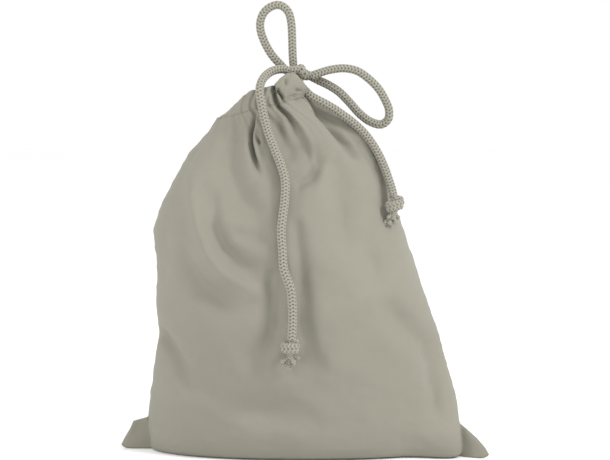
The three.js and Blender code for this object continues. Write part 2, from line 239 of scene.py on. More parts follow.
@dataclass(frozen=True)
class Finish:
    """What the finishes share: two tones and short ways to add and wire a material's nodes."""

    name: str
    light: Point
    dark: Point

    @staticmethod
    def start(name: str) -> tuple[bpy.types.Material, bpy.types.Node]:
        """Make a node material.

        Args:
            name: The material's name.

        Returns:
            The material and its surface shader.
        """
        material = bpy.data.materials.new(name)
        material.use_nodes = True
        return material, material.node_tree.nodes["Principled BSDF"]

    @staticmethod
    def fill(node: bpy.types.Node, inputs: Inputs) -> None:
        """Set or wire a node's inputs.

        Args:
            node: The node.
            inputs: A plain value or another node's output for each input.
        """
        for key, value in inputs.items():
            if isinstance(value, bpy.types.NodeSocket):
                node.id_data.links.new(value, node.inputs[key])
            else:
                node.inputs[key].default_value = value

    def add(
        self, material: bpy.types.Material, kind: str, inputs: Inputs | None = None, **settings: str
    ) -> bpy.types.Node:
        """Add one node to a material.

        Args:
            material: The material.
            kind: The node's type.
            inputs: A plain value or another node's output for each input.
            settings: The node's own settings, which come before its inputs.

        Returns:
            The node.
        """
        node = material.node_tree.nodes.new(kind)
        for key, value in settings.items():
            setattr(node, key, value)
        self.fill(node, inputs or {})
        return node

    def two_tones(
        self,
        material: bpy.types.Material,
        factor: bpy.types.NodeSocket,
        low: Point,
        high: Point,
    ) -> bpy.types.NodeSocket:
        """Mix two colours.

        Args:
            material: The material.
            factor: What mixes them, from 0 to 1.
            low: The colour at 0.
            high: The colour at 1.

        Returns:
            The mixed colour.
        """
        inputs = {"A": (*low, 1.0), "B": (*high, 1.0), "Factor": factor}
        return self.add(material, "ShaderNodeMix", inputs, data_type="RGBA").outputs["Result"]

    def relief(
        self,
        material: bpy.types.Material,
        height: bpy.types.NodeSocket,
        strength: float,
        distance: float,
        **under: bpy.types.NodeSocket,
    ) -> bpy.types.NodeSocket:
        """Raise and lower the surface a little.

        Args:
            material: The material.
            height: What raises it.
            strength: How strongly it does.
            distance: How far.
            under: Normal, where another relief lies below this one.

        Returns:
            The bent normal.
        """
        inputs = {"Strength": strength, "Distance": distance, "Height": height, **under}
        return self.add(material, "ShaderNodeBump", inputs).outputs["Normal"]


@dataclass(frozen=True)
class WovenCotton(Finish):
    """Plain-woven cotton in one dyed colour, with its threads, slubs and soft colour changes."""

    name: str = "woven_cotton"
    light: Point = (0.262, 0.252, 0.207)
    dark: Point = (0.228, 0.219, 0.178)
    thread: float = 0.00042
    weave_height: float = 0.00005
    crease_height: float = 0.0005
    cloud_scale: float = 14.0
    crease_scale: float = 60.0
    slub_scale: Point = (120.0, 2200.0, 1.0)
    slub_share: float = 0.35

    def tone(
        self, material: bpy.types.Material, body: bpy.types.NodeSocket, cloth: bpy.types.NodeSocket
    ) -> bpy.types.NodeSocket:
        """Mix the colour from soft clouds on the body and slubs along the threads.

        Args:
            material: The material.
            body: The place on the body.
            cloth: The place on the flat cloth.

        Returns:
            The colour.
        """
        clouds = {"Scale": self.cloud_scale, "Detail": 5.0, "Vector": body}
        cloud = self.add(material, "ShaderNodeTexNoise", clouds)
        stretch = {0: cloth, 1: self.slub_scale}
        threads = self.add(material, "ShaderNodeVectorMath", stretch, operation="MULTIPLY")
        slubs = {"Scale": 1.0, "Detail": 2.0, "Vector": threads.outputs["Vector"]}
        slub = self.add(material, "ShaderNodeTexNoise", slubs)
        terms = {0: slub.outputs["Fac"], 1: self.slub_share, 2: cloud.outputs["Fac"]}
        both = self.add(material, "ShaderNodeMath", terms, operation="MULTIPLY_ADD")
        reach = {"From Min": 0.35, "From Max": 1.0, "Value": both.outputs["Value"]}
        ramp = self.add(material, "ShaderNodeMapRange", reach)
        return self.two_tones(material, ramp.outputs["Result"], self.dark, self.light)

    def weave(self, material: bpy.types.Material, cloth: bpy.types.NodeSocket) -> bpy.types.NodeSocket:
        """Cross two sets of threads, over and under.

        Args:
            material: The material.
            cloth: The place on the flat cloth.

        Returns:
            The weave's height.
        """
        split = self.add(material, "ShaderNodeSeparateXYZ", {"Vector": cloth})
        waves = {}
        for number, axis in enumerate(("X", "Y")):
            turned = {0: split.outputs[axis], 1: math.pi / self.thread}
            turn = self.add(material, "ShaderNodeMath", turned, operation="MULTIPLY")
            wave = self.add(material, "ShaderNodeMath", {0: turn.outputs["Value"]}, operation="SINE")
            waves[number] = wave.outputs["Value"]
        return self.add(material, "ShaderNodeMath", waves, operation="MULTIPLY").outputs["Value"]

    def material(self) -> bpy.types.Material:
        """Build the cloth's material.

        Returns:
            The material; it reads the vertex attribute cloth, the place on the flat cloth.
        """
        material, shader = self.start(self.name)
        place = self.add(material, "ShaderNodeAttribute", attribute_name="cloth")
        cloth = place.outputs["Vector"]
        body = self.add(material, "ShaderNodeTexCoord").outputs["Object"]
        weave = self.relief(material, self.weave(material, cloth), 0.35, self.weave_height)
        creases = {"Scale": self.crease_scale, "Detail": 3.0, "Vector": body}
        crumple = self.add(material, "ShaderNodeTexNoise", creases)
        height = crumple.outputs["Fac"]
        self.fill(shader, {
            "Base Color": self.tone(material, body, cloth),
            "Normal": self.relief(material, height, 0.25, self.crease_height, Normal=weave),
            "Roughness": 0.88,
            "Specular IOR Level": 0.2,
            "Sheen Weight": 0.12,
            "Sheen Roughness": 0.45,
        })
        return material


@dataclass(frozen=True)
class KnittedYarn(Finish):
    """Soft twisted yarn of the knitted cord, with painted shade down between the stitches."""

    name: str = "knitted_yarn"
    light: Point = (0.315, 0.303, 0.25)
    # The dark tone, near black, is painted shade for the holes between the stitches.
    dark: Point = (0.03, 0.027, 0.021)
    fibre_scale: float = 2600.0
    fibre_share: float = 0.22
    fuzz_height: float = 0.00012

    def material(self) -> bpy.types.Material:
        """Build the yarn's material.

        Returns:
            The material; it reads the cord's vertex attribute of painted shade, from 0 on a stitch to 1 in
            a hole, and paints the colour darker by it.
        """
        material, shader = self.start(self.name)
        pit_depth_and_shade = self.add(material, "ShaderNodeAttribute", attribute_name="pit_depth_and_shade").outputs["Fac"]
        body = self.add(material, "ShaderNodeTexCoord").outputs["Object"]
        fine = {"Scale": self.fibre_scale, "Detail": 3.0, "Vector": body}
        fibre = self.add(material, "ShaderNodeTexNoise", fine).outputs["Fac"]
        # The colour mixes the fibres' own random tone with painted shade that is darkest down in the holes
        # between the stitches.
        terms = {0: fibre, 1: self.fibre_share, 2: pit_depth_and_shade}
        shade = self.add(material, "ShaderNodeMath", terms, operation="MULTIPLY_ADD")
        reach = {"From Min": 0.08, "From Max": 1.0, "Value": shade.outputs["Value"]}
        depth = self.add(material, "ShaderNodeMapRange", reach).outputs["Result"]
        self.fill(shader, {
            "Base Color": self.two_tones(material, depth, self.light, self.dark),
            "Normal": self.relief(material, fibre, 0.4, self.fuzz_height),
            "Roughness": 0.82,
            "Specular IOR Level": 0.25,
            "Sheen Weight": 0.2,
            "Sheen Roughness": 0.5,
        })
        return material


@dataclass(frozen=True)
class SewingThread(Finish):
    """Fine sewing thread in the cloth's colour."""

    name: str = "sewing_thread"
    light: Point = (0.4, 0.385, 0.31)
    dark: Point = (0.27, 0.26, 0.205)
    twist_scale: float = 900.0
    ply_height: float = 0.00008

    def material(self) -> bpy.types.Material:
        """Build the thread's material.

        Returns:
            The material, with fine bands along the thread: bumps for its plies and painted shade in the
            grooves between them.
        """
        material, shader = self.start(self.name)
        body = self.add(material, "ShaderNodeTexCoord").outputs["Object"]
        bands = {"Scale": self.twist_scale, "Vector": body}
        wave = self.add(material, "ShaderNodeTexWave", bands, bands_direction="DIAGONAL")
        twist_height_and_shade = wave.outputs["Fac"]
        # The colour is painted darker in the grooves between the plies: painted shade that follows the
        # bumps.
        self.fill(shader, {
            "Base Color": self.two_tones(material, twist_height_and_shade, self.dark, self.light),
            "Normal": self.relief(material, twist_height_and_shade, 0.3, self.ply_height),
            "Roughness": 0.6,
        })
        return material


# ---------------------------------------------------------------- camera and light


@dataclass
class Studio:
    """A pale floor, soft light from all sides and the camera a little above the bag's middle."""

    aim: Point = (-0.0002, 0.0, 0.2041)
    distance: float = 1.56
    elevation: float = math.radians(5.0)
    view_width: float = 0.5612
    sensor: float = 36.0
    floor_size: float = 14.0
    floor_tone: float = 0.99
    sky: float = 1.0

    def camera(self) -> None:
        """Place the camera and make it the scene's own."""
        lens = bpy.data.cameras.new("camera")
        lens.sensor_width = self.sensor
        lens.lens = self.sensor * self.distance / self.view_width
        lens.clip_start = 0.01
        eye = link(bpy.data.objects.new("camera", lens))
        back = Vector((0.0, -math.cos(self.elevation), math.sin(self.elevation)))
        eye.location = Vector(self.aim) + back * self.distance
        eye.rotation_euler = (-back).to_track_quat("-Z", "Y").to_euler()
        bpy.context.scene.camera = eye

    def lamp(self, name: str, place: Point, size: float, power: float) -> None:
        """Hang one square soft lamp.

        Args:
            name: The lamp's name.
            place: Where it hangs; it faces the bag's middle.
            size: Its side.
            power: Its power in watts.
        """
        light = bpy.data.lights.new(name, "AREA")
        light.size = size
        light.energy = power
        lamp = link(bpy.data.objects.new(name, light))
        lamp.location = place
        lamp.rotation_euler = (Vector(self.aim) - Vector(place)).to_track_quat("-Z", "Y").to_euler()

    def light(self) -> None:
        """Light the bag softly from both sides, a little more from the right, with a pale sky."""
        self.lamp("key_lamp", (1.5, -0.9, 1.5), 0.5, 27.0)
        self.lamp("fill_lamp", (-1.6, -0.9, 1.3), 0.5, 12.0)
        world = bpy.data.worlds.new("studio")
        world.use_nodes = True
        sky = world.node_tree.nodes["Background"]
        sky.inputs["Color"].default_value = (1.0, 1.0, 1.0, 1.0)
        sky.inputs["Strength"].default_value = self.sky
        bpy.context.scene.world = world
        bpy.context.scene.view_settings.view_transform = "Standard"

    def floor(self) -> None:
        """Lay the pale floor."""
        material, shader = Finish.start("pale_floor")
        Finish.fill(shader, {"Base Color": (self.floor_tone,) * 3 + (1.0,), "Roughness": 0.9})
        h = self.floor_size / 2
        corners = np.array([[-h, -h, 0], [h, -h, 0], [h, h, 0], [-h, h, 0]], float)
        mesh_piece("floor", corners, [(0, 1, 2, 3)], material)


# ---------------------------------------------------------------- the knitted cord


@dataclass
class Knit:
    """How the cord is knitted: chains of slanting stitches with a hole under each."""

    radius: float = 0.004
    columns: int = 8
    pitch: float = 0.0031
    lean: float = 0.5
    groove: float = 0.00115
    around: int = 64
    steps_per_stitch: int = 9
    hole_start: float = 0.25
    hole_full: float = 0.95
    pit_share: float = 0.30
    pit_gain: float = 1.35
    sink: float = 0.22
    # How strongly the pits' painted shade darkens the yarn's colour.
    painted_shade_gain: float = 1.45

    @property
    def step(self) -> float:
        """The distance between two rings of points."""
        return self.pitch / self.steps_per_stitch

    def tube(
        self, line: np.ndarray, hint: Point, radii: np.ndarray | None = None, start: int = 0
    ) -> tuple[np.ndarray, list[tuple[int, ...]], np.ndarray]:
        """Knit a closed tube along a line.

        Args:
            line: Evenly spaced points of the centreline.
            hint: The direction that a row of holes faces at the start.
            radii: The radius at each point, or None for the cord's own.
            start: The number of the first vertex.

        Returns:
            The vertices, the faces, and the painted shade at each vertex, darkest down in the holes
            between the stitches.
        """
        if radii is None:
            radii = np.full(len(line), self.radius)
        side, over = carried_frames(line, hint)
        along = arc_lengths(line)[:, None] / self.pitch
        angle = np.linspace(0.0, math.tau, self.around, endpoint=False)[None, :]
        column = angle * self.columns / math.tau
        fold = np.abs((column / 2.0) % 1.0 * 2.0 - 1.0)
        phase = (along - self.lean * fold) % 1.0
        strand = np.sqrt(np.maximum(0.0, 1.0 - (2.0 * phase - 1.0) ** 2))
        edge = np.abs(2.0 * (column % 1.0) - 1.0)
        hole = smooth_step(edge, self.hole_start, self.hole_full)
        pit_depth_and_shade = (1.0 - strand) * (self.pit_share + 0.70 * hole)
        drop = self.groove * (pit_depth_and_shade * self.pit_gain + self.sink * hole * strand)
        reach = radii[:, None] * (1.0 - drop / self.radius)
        ring = np.cos(angle)[..., None] * side[:, None, :] + np.sin(angle)[..., None] * over[:, None, :]
        points = line[:, None, :] + ring * reach[..., None]
        rows, columns = reach.shape
        faces = grid_faces(rows, columns, start, around=True)
        faces.append(tuple(start + j for j in reversed(range(columns))))
        faces.append(tuple(start + (rows - 1) * columns + j for j in range(columns)))
        # From here on the pit value is painted shade: the yarn's colour is painted darker down in the
        # holes between the stitches.
        pit_depth_and_shade = np.clip(pit_depth_and_shade * self.painted_shade_gain, 0.0, 1.0) * np.ones_like(reach)
        return points.reshape(-1, 3), faces, pit_depth_and_shade.ravel()

    def piece(
        self,
        name: str,
        lines: Sequence[np.ndarray],
        material: bpy.types.Material,
        hints: Sequence[Point],
        radii: Sequence[np.ndarray | None] | None = None,
    ) -> bpy.types.Object:
        """Knit one object of one or more tubes.

        Args:
            name: The piece's name.
            lines: The centreline of each tube.
            material: The yarn.
            hints: For each tube, the direction that a row of holes faces.
            radii: For each tube, its radius along the line, or None.

        Returns:
            The object.
        """
        points, faces, painted_pit_shades, count = [], [], [], 0
        for i, line in enumerate(lines):
            p, f, d = self.tube(line, hints[i], radii[i] if radii else None, count)
            points.append(p)
            faces.extend(f)
            painted_pit_shades.append(d)
            count += len(p)
        # The vertex attribute carries the painted shade of the holes, which the yarn's colour reads.
        return mesh_piece(name, np.vstack(points), faces, material, {"pit_depth_and_shade": np.concatenate(painted_pit_shades)})


class FarEnd(Enum):
    """What a free length of the cord ends in."""

    KNOT = "knot"
    OBJECT = "object"


@dataclass
class CordLength:
    """One free length of the drawstring, with the names of the part and the body that it stands for."""

    name: str
    node: str
    body: str
    route: Sequence[Point]
    length: float
    blend_start: Point
    blend_end: Point
    far_end: FarEnd
    hint: Point = TO_FRONT
    with_pieces: Sequence[str] = ()

    def build(self, knit: Knit, yarn: bpy.types.Material) -> bpy.types.Object:
        """Args:
            knit: How the cord is knitted.
            yarn: Its material.

        Returns:
            The cord's object.
        """
        line = smooth_route(self.route, knit.step)
        piece = knit.piece(self.name, [line], yarn, [self.hint])
        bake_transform(piece)
        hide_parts(self.node)
        LOG.info("%s: %.0f mm of cord", self.name, arc_lengths(line)[-1] * 1000)
        return piece


TOP_LOOP_ROUTE: Sequence[Point] = (
    (-0.0108, 0.008, 0.355), (-0.0114, 0.0076, 0.363), (-0.0118, 0.007, 0.374), (-0.0121, 0.0064, 0.385),
    (-0.0128, 0.006, 0.394), (-0.0149, 0.006, 0.4023), (-0.0188, 0.006, 0.4073), (-0.0246, 0.006, 0.4098),
    (-0.0316, 0.006, 0.408), (-0.0376, 0.006, 0.4029), (-0.0408, 0.0062, 0.3954), (-0.041, 0.0066, 0.388),
    (-0.0386, 0.007, 0.3795), (-0.0346, 0.0074, 0.3709), (-0.0299, 0.0078, 0.3636),
    (-0.0254, 0.008, 0.3584), (-0.022, 0.008, 0.355),
)
RIGHT_LOOP_ROUTE: Sequence[Point] = (
    (0.005, 0.0035, 0.345), (0.011, 0.0034, 0.3473), (0.0236, 0.0032, 0.351), (0.0362, 0.003, 0.3522),
    (0.0478, 0.003, 0.3496), (0.0573, 0.003, 0.3433), (0.0668, 0.0032, 0.3339), (0.0732, 0.0036, 0.3234),
    (0.0768, 0.0044, 0.314), (0.076, 0.0054, 0.3056), (0.0698, 0.0066, 0.301), (0.0596, 0.008, 0.3036),
    (0.05, 0.0094, 0.3108), (0.0405, 0.0106, 0.3213), (0.031, 0.0116, 0.3308), (0.0205, 0.0122, 0.3374),
    (0.012, 0.0124, 0.3414), (0.005, 0.0124, 0.345),
)
FRONT_TAIL_ROUTE: Sequence[Point] = (
    (-0.0148, -0.0042, 0.35), (-0.0204, -0.0064, 0.3513), (-0.029, -0.0115, 0.35),
    (-0.0359, -0.0176, 0.3453), (-0.0399, -0.0244, 0.3386), (-0.0408, -0.0296, 0.331),
    (-0.0394, -0.0324, 0.322), (-0.0376, -0.0336, 0.312), (-0.0334, -0.037, 0.296),
    (-0.0269, -0.0444, 0.2794), (-0.0215, -0.0506, 0.2663), (-0.018, -0.0562, 0.2539),
    (-0.018, -0.0632, 0.2372), (-0.02, -0.0698, 0.2207), (-0.0211, -0.0728, 0.2103),
    (-0.0201, -0.0768, 0.1931), (-0.0188, -0.0796, 0.1767), (-0.0163, -0.0808, 0.1691),
    (-0.0129, -0.082, 0.1599), (-0.0115, -0.0826, 0.1474), (-0.0111, -0.0829, 0.1347),
    (-0.0116, -0.0829, 0.122), (-0.0122, -0.0829, 0.1142),
)
RIGHT_TAIL_ROUTE: Sequence[Point] = (
    (-0.0036, -0.0036, 0.3362), (0.0004, -0.0056, 0.3316), (0.006, -0.0086, 0.3266),
    (0.0155, -0.0108, 0.3216), (0.0253, -0.0108, 0.3161), (0.0343, -0.0108, 0.3099),
    (0.044, -0.0108, 0.3027), (0.0537, -0.0112, 0.2934), (0.0611, -0.012, 0.2836),
    (0.0668, -0.013, 0.274), (0.0717, -0.0144, 0.2633), (0.0757, -0.017, 0.252), (0.0786, -0.021, 0.2426),
    (0.08, -0.025, 0.2362),
)


@dataclass
class EndKnot:
    """The overhand knot near a tail's end, and the yarn that comes loose below it."""

    name: str
    node: str
    frayed_node: str
    body: str
    top: Point
    centre: Point
    bottom: Point
    half_width: float
    tilt: float
    lobes: Stroke
    cord_radius: float = 0.0031
    half_depth: float = 0.0072
    first_turn: float = 0.10
    last_turn: float = 1.95
    turn_drop: float = 0.0034
    yarn_radius: float = 0.0013

    @property
    def frayed_name(self) -> str:
        """The name of the loose end's piece."""
        return self.name.replace("knot", "frayed_end")

    def knot_line(self, knit: Knit) -> np.ndarray:
        """Lead the cord once round itself and down through the turn.

        Args:
            knit: How the cord is knitted.

        Returns:
            The centreline of the knot's cord.
        """
        cx, cy, cz = self.centre
        reach_x = self.half_width - self.cord_radius
        reach_y = self.half_depth - self.cord_radius
        points = [self.top]
        points.append((cx + 0.3 * reach_x, cy + 0.2 * reach_y, cz + 0.0052))
        for turn in np.linspace(self.first_turn, self.last_turn, 16):
            angle = math.tau * turn
            tight = 1.0 - 0.10 * turn
            x = cx + reach_x * tight * math.cos(angle)
            z = cz + 0.0030 - self.turn_drop * turn + self.tilt * math.cos(angle) * reach_x
            points.append((x, cy + reach_y * tight * math.sin(angle), z))
        points.append((cx + 0.1 * reach_x, cy + 0.1 * reach_y, cz - 0.0035))
        points.append(self.bottom)
        return smooth_route(points, knit.step)

    def build(self, yarn: bpy.types.Material) -> list[str]:
        """Tie the knot and fray the end below it.

        Args:
            yarn: The cord's material.

        Returns:
            The names of the two pieces.
        """
        tight = Knit(radius=self.cord_radius, around=48, pitch=0.0026, groove=0.0006, steps_per_stitch=8)
        line = self.knot_line(tight)
        core = smooth_route([self.top, self.centre, self.bottom], tight.step)
        piece = tight.piece(self.name, [line, core], yarn, [TO_FRONT] * 2)
        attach(piece, self.body)
        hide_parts(self.node)
        frayed = self.fray(tight, yarn)
        return [piece.name, frayed.name]

    def fray(self, knit: Knit, yarn: bpy.types.Material) -> bpy.types.Object:
        """Open the cord's last millimetres into loops and ends of yarn.

        Args:
            knit: How the cord is knitted in the knot.
            yarn: Its material.

        Returns:
            The loose end's object.
        """
        top = np.array(self.bottom)
        hub = top - (0.0, 0.0, 0.0020)
        stub = smooth_route([tuple(top + (0, 0, 0.001)), tuple(hub - (0.0, 0.0, 0.0022))], knit.step)
        lines, widths = [stub], [np.full(len(stub), self.cord_radius * 0.9)]
        for x, y, z, fat in self.lobes:
            reach = np.array([x, y, z])
            tip = hub + reach + unit(reach) * fat
            bend = hub + reach * 0.5 + (0.0, 0.0, 0.0004)
            strand = smooth_route([tuple(hub), tuple(bend), tuple(tip)], knit.step)
            left = arc_lengths(strand)[-1] - arc_lengths(strand)
            swell = smooth_step(-left, -0.0065, -fat)
            grown = self.yarn_radius + (fat - self.yarn_radius) * swell
            round_end = fat * np.sqrt(np.maximum(0.01, 1.0 - (1.0 - np.minimum(left / fat, 1.0)) ** 2))
            lines.append(strand)
            widths.append(np.minimum(grown, round_end))
        loose = Knit(radius=knit.radius, around=28, pitch=0.0022, groove=0.00045, steps_per_stitch=8)
        piece = loose.piece(self.frayed_name, lines, yarn, [TO_FRONT] * len(lines), widths)
        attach(piece, self.body)
        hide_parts(self.frayed_node)
        return piece


@dataclass
class Drawstring:
    """The cord outside the hem: the bow, its two loops, its two tails and their knots."""

    knit: Knit = field(default_factory=Knit)
    bow_centre: Point = (-0.0050, 0.0030, 0.3482)
    strand_gap: float = 0.0045
    strand_x: float = -0.0088
    strand_spare: float = 0.002
    bow_radius: float = 0.0038

    def end_knots(self, yarn: bpy.types.Material) -> dict[str, list[str]]:
        """Tie the two end knots.

        Args:
            yarn: The cord's material.

        Returns:
            For each tail's body, the names of the pieces on it.
        """
        front = EndKnot(
            "front_tail_knot", "front_end_knot", "front_frayed_end", "front_tail",
            (-0.0122, -0.0829, 0.1146), (-0.0130, -0.0835, 0.1090), (-0.0128, -0.0832, 0.1018),
            0.0092, 0.10,
            (
                (-0.0070, -0.0003, -0.0040, 0.0022), (0.0064, -0.0003, -0.0012, 0.0019),
                (-0.0020, 0.0002, -0.0098, 0.0026), (0.0026, -0.0030, -0.0044, 0.0023),
                (-0.0044, 0.0017, -0.0078, 0.0021), (0.0022, 0.0030, -0.0068, 0.0021),
            ),
        )
        right = EndKnot(
            "right_tail_knot", "right_end_knot", "right_frayed_end", "right_tail",
            (0.0801, -0.0252, 0.2358), (0.0808, -0.0302, 0.2300), (0.0800, -0.0314, 0.2236),
            0.0094, 0.34,
            (
                (-0.0080, -0.0001, -0.0082, 0.0023), (-0.0040, -0.0021, -0.0082, 0.0023),
                (0.0008, -0.0006, -0.0074, 0.0023), (0.0036, 0.0014, -0.0036, 0.0020),
                (-0.0046, -0.0016, -0.0034, 0.0022), (-0.0004, -0.0028, -0.0036, 0.0023),
                (-0.0020, 0.0024, -0.0060, 0.0021),
            ),
        )
        return {"front_tail": front.build(yarn), "right_tail": right.build(yarn)}

    def free_lengths(self, yarn: bpy.types.Material, on_tails: dict[str, list[str]]) -> None:
        """Knit the loops and the tails.

        Args:
            yarn: The cord's material.
            on_tails: The names of the pieces on each tail.
        """
        lengths = [
            CordLength(
                "bow_top_loop", "top_loop", "top_loop", TOP_LOOP_ROUTE, 0.137,
                (-0.0164, 0.0080, 0.3550), (-0.0164, 0.0080, 0.3660), FarEnd.OBJECT,
            ),
            CordLength(
                "bow_right_loop", "right_loop", "right_loop", RIGHT_LOOP_ROUTE, 0.191,
                (0.0050, 0.0080, 0.3450), (0.0170, 0.0080, 0.3450), FarEnd.OBJECT,
            ),
            CordLength(
                "front_tail_cord", "front_tail", "front_tail", FRONT_TAIL_ROUTE, 0.285,
                (-0.0148, -0.0042, 0.3500), (-0.0230, -0.0120, 0.3380), FarEnd.KNOT,
                with_pieces=on_tails["front_tail"],
            ),
            CordLength(
                "right_tail_cord", "right_tail", "right_tail", RIGHT_TAIL_ROUTE, 0.142,
                (0.0004, -0.0056, 0.3378), (0.0090, -0.0056, 0.3300), FarEnd.KNOT,
                with_pieces=on_tails["right_tail"],
            ),
        ]
        for length in lengths:
            length.build(self.knit, yarn)

    def bow(self, yarn: bpy.types.Material) -> None:
        """Wrap the bow's middle round the crossing cords.

        Args:
            yarn: The cord's material.
        """
        x, y, z = self.bow_centre
        wrap = []
        for turn in np.linspace(-0.12, 1.05, 12):
            angle = math.tau * turn
            reach = (x + 0.0022 * math.cos(angle) + 0.0022 * turn, y - 0.0040 * math.cos(angle))
            wrap.append((*reach, z + 0.0040 * math.sin(angle) + 0.0012 * math.cos(angle)))
        across = [
            (-0.0152, -0.0038, 0.3498), (-0.0100, -0.0018, 0.3508), (-0.0040, 0.0010, 0.3500),
            (0.0010, 0.0028, 0.3470), (0.0054, 0.0035, 0.3452),
        ]
        under = [
            (-0.0224, 0.0080, 0.3552), (-0.0170, 0.0082, 0.3500), (-0.0110, 0.0086, 0.3468),
            (-0.0030, 0.0104, 0.3450), (0.0054, 0.0124, 0.3450),
        ]
        down = [
            (-0.0108, 0.0080, 0.3554), (-0.0104, 0.0062, 0.3490), (-0.0080, 0.0010, 0.3430),
            (-0.0040, -0.0034, 0.3366),
        ]
        lines = [smooth_route(r, self.knit.step) for r in (wrap, across, under, down)]
        radii = [np.full(len(line), self.bow_radius) for line in lines]
        piece = self.knit.piece("bow_middle", lines, yarn, [(0.0, -1.0, 0.3)] * 4, radii)
        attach(piece, "bow")
        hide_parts("bow_knot")

    def neck_strands(self, yarn: bpy.types.Material) -> None:
        """Bring the cord's two ends from the hem up to the bow.

        Args:
            yarn: The cord's material.
        """
        for name, node, side in (
            ("front_strand", "front_neck_strand", -1),
            ("back_strand", "back_neck_strand", 1),
        ):
            low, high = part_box(node)
            y = side * self.strand_gap
            levels = (low[2] - self.strand_spare, (low[2] + high[2]) / 2, high[2] + self.strand_spare)
            line = smooth_route([(self.strand_x, y, z) for z in levels], self.knit.step)
            piece = self.knit.piece(name, [line], yarn, [TO_FRONT])
            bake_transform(piece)
            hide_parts(node)

    def build(self, yarn: bpy.types.Material) -> None:
        """Make every piece of the cord that lies outside the hem.

        Args:
            yarn: The cord's material.
        """
        on_tails = self.end_knots(yarn)
        self.free_lengths(yarn, on_tails)
        self.bow(yarn)
        self.neck_strands(yarn)


# ---------------------------------------------------------------- the cloth bag


@dataclass(frozen=True)
class Section:
    """The bag's outline at one height, as shares of the bag's half width and half depth."""

    height: float
    left: float
    right: float
    depth: float
    rise: float = 0.0
    left_ear: float = 0.0
    right_ear: float = 0.0


class Side(Enum):
    """Which half of the bag a piece belongs to."""

    FRONT = -1
    BACK = 1


def lane(points: Stroke) -> np.ndarray:
    """Write a fold's chosen points as a dense line.

    Args:
        points: The points, each (x, z, depth, width).

    Returns:
        The same four values for each point of the dense line, the depth faded at both ends.
    """
    p = np.array(points, float)
    along = arc_lengths(p[:, :2])
    even = np.linspace(0.0, along[-1], max(8, int(along[-1] / 0.0015)))
    fade = min(0.020, along[-1] / 3)
    line = np.column_stack([np.interp(even, along, p[:, k]) for k in range(4)])
    starts = smooth_step(even, -fade * 0.2, fade)
    line[:, 2] *= starts * smooth_step(along[-1] - even, -fade * 0.2, fade)
    return line


@dataclass
class Fold:
    """A valley (positive depth) or ridge (negative) drawn over the cloth.

    Its points are (x, z, depth, width). slope widens the side that lies to the right of the
    line's direction. lap slides the valley's foot towards the other side, so that the cloth
    laps over it there. broad_gain deepens the broad parts of every fold.
    """

    points: Stroke
    slope: float = 1.0
    lap: float = 0.0
    broad_gain: float = 1.9

    def press(self, x: np.ndarray, z: np.ndarray) -> np.ndarray:
        """Work out how the fold moves the cloth.

        Args:
            x: The places across the bag.
            z: The places' heights.

        Returns:
            How far each place goes in, to the side and up, in the last axis.
        """
        line = lane(self.points)
        result = np.zeros((*x.shape, 3))
        peak = np.abs(line[:, 2]).max()
        best = np.full(x.shape, np.inf)
        for (x0, z0, d0, w0), (x1, z1, d1, w1) in zip(line[:-1], line[1:]):
            ex, ez = x1 - x0, z1 - z0
            size = ex * ex + ez * ez
            t = np.clip(((x - x0) * ex + (z - z0) * ez) / size, 0.0, 1.0)
            dx, dz = x - x0 - ex * t, z - z0 - ez * t
            gap = dx * dx + dz * dz
            width = w0 + (w1 - w0) * t
            right = (ex * dz - ez * dx) < 0
            broad = smooth_step(width, 0.0035, 0.0070)
            width = np.where(right, width * self.slope, width)
            gain = 1.0 + (self.broad_gain - 1.0) * broad
            value = (d0 + (d1 - d0) * t) * gain * np.exp(-gap / (width * width))
            slide = self.lap * value / peak / math.sqrt(size)
            moved = np.stack([value, -ez * slide, ex * slide], axis=-1)
            near = gap < best
            best = np.where(near, gap, best)
            result = np.where(near[..., None], moved, result)
        return result


def pressed(folds: Sequence[Fold], x: np.ndarray, z: np.ndarray) -> np.ndarray:
    """Add up what several folds do to the cloth, as press gives it for one."""
    return sum(fold.press(x, z) for fold in folds)


NECK_SLIT = Fold([
    (-0.033, 0.35, 0.01, 0.0013), (-0.03, 0.338, 0.011, 0.0013), (-0.0272, 0.325, 0.011, 0.0014),
    (-0.0245, 0.3185, 0.011, 0.0014), (-0.0205, 0.315, 0.0105, 0.0015), (-0.0155, 0.3105, 0.0095, 0.0017),
    (-0.0105, 0.3035, 0.008, 0.0022), (-0.0062, 0.295, 0.0062, 0.0033), (-0.001, 0.279, 0.0042, 0.0062),
    (0.0045, 0.26, 0.0028, 0.009), (0.006, 0.243, 0.0008, 0.013),
], 2.2, 0.003)
TUFT_SLIT = Fold([
    (-0.0262, 0.335, 0.006, 0.0011), (-0.024, 0.331, 0.008, 0.0012), (-0.0205, 0.3262, 0.007, 0.0013),
    (-0.019, 0.3215, 0.003, 0.0014),
], 1.0, 0.0014)
TUFT_DIMPLES: Sequence[Fold] = (
    Fold([
        (-0.0176, 0.344, 0.001, 0.0014), (-0.0174, 0.34, 0.0026, 0.0014), (-0.017, 0.335, 0.0012, 0.0014),
    ]),
    Fold([
        (-0.0105, 0.3338, 0.001, 0.0012), (-0.007, 0.3325, 0.0026, 0.0012),
        (-0.002, 0.3308, 0.0014, 0.0012),
    ]),
    Fold([
        (-0.0195, 0.3236, 0.0016, 0.0013), (-0.013, 0.3262, 0.002, 0.0014),
        (-0.005, 0.3292, 0.0012, 0.0014),
    ]),
)
CORD_SIDE_PLEAT = Fold([
    (-0.0446, 0.316, 0.003, 0.0008), (-0.0462, 0.305, 0.007, 0.0009), (-0.0472, 0.3, 0.0085, 0.001),
    (-0.0487, 0.294, 0.01, 0.0011), (-0.0487, 0.285, 0.0105, 0.0012), (-0.0466, 0.275, 0.009, 0.0014),
    (-0.043, 0.265, 0.0056, 0.002), (-0.039, 0.252, 0.0014, 0.004),
], 1.6, 0.0026)
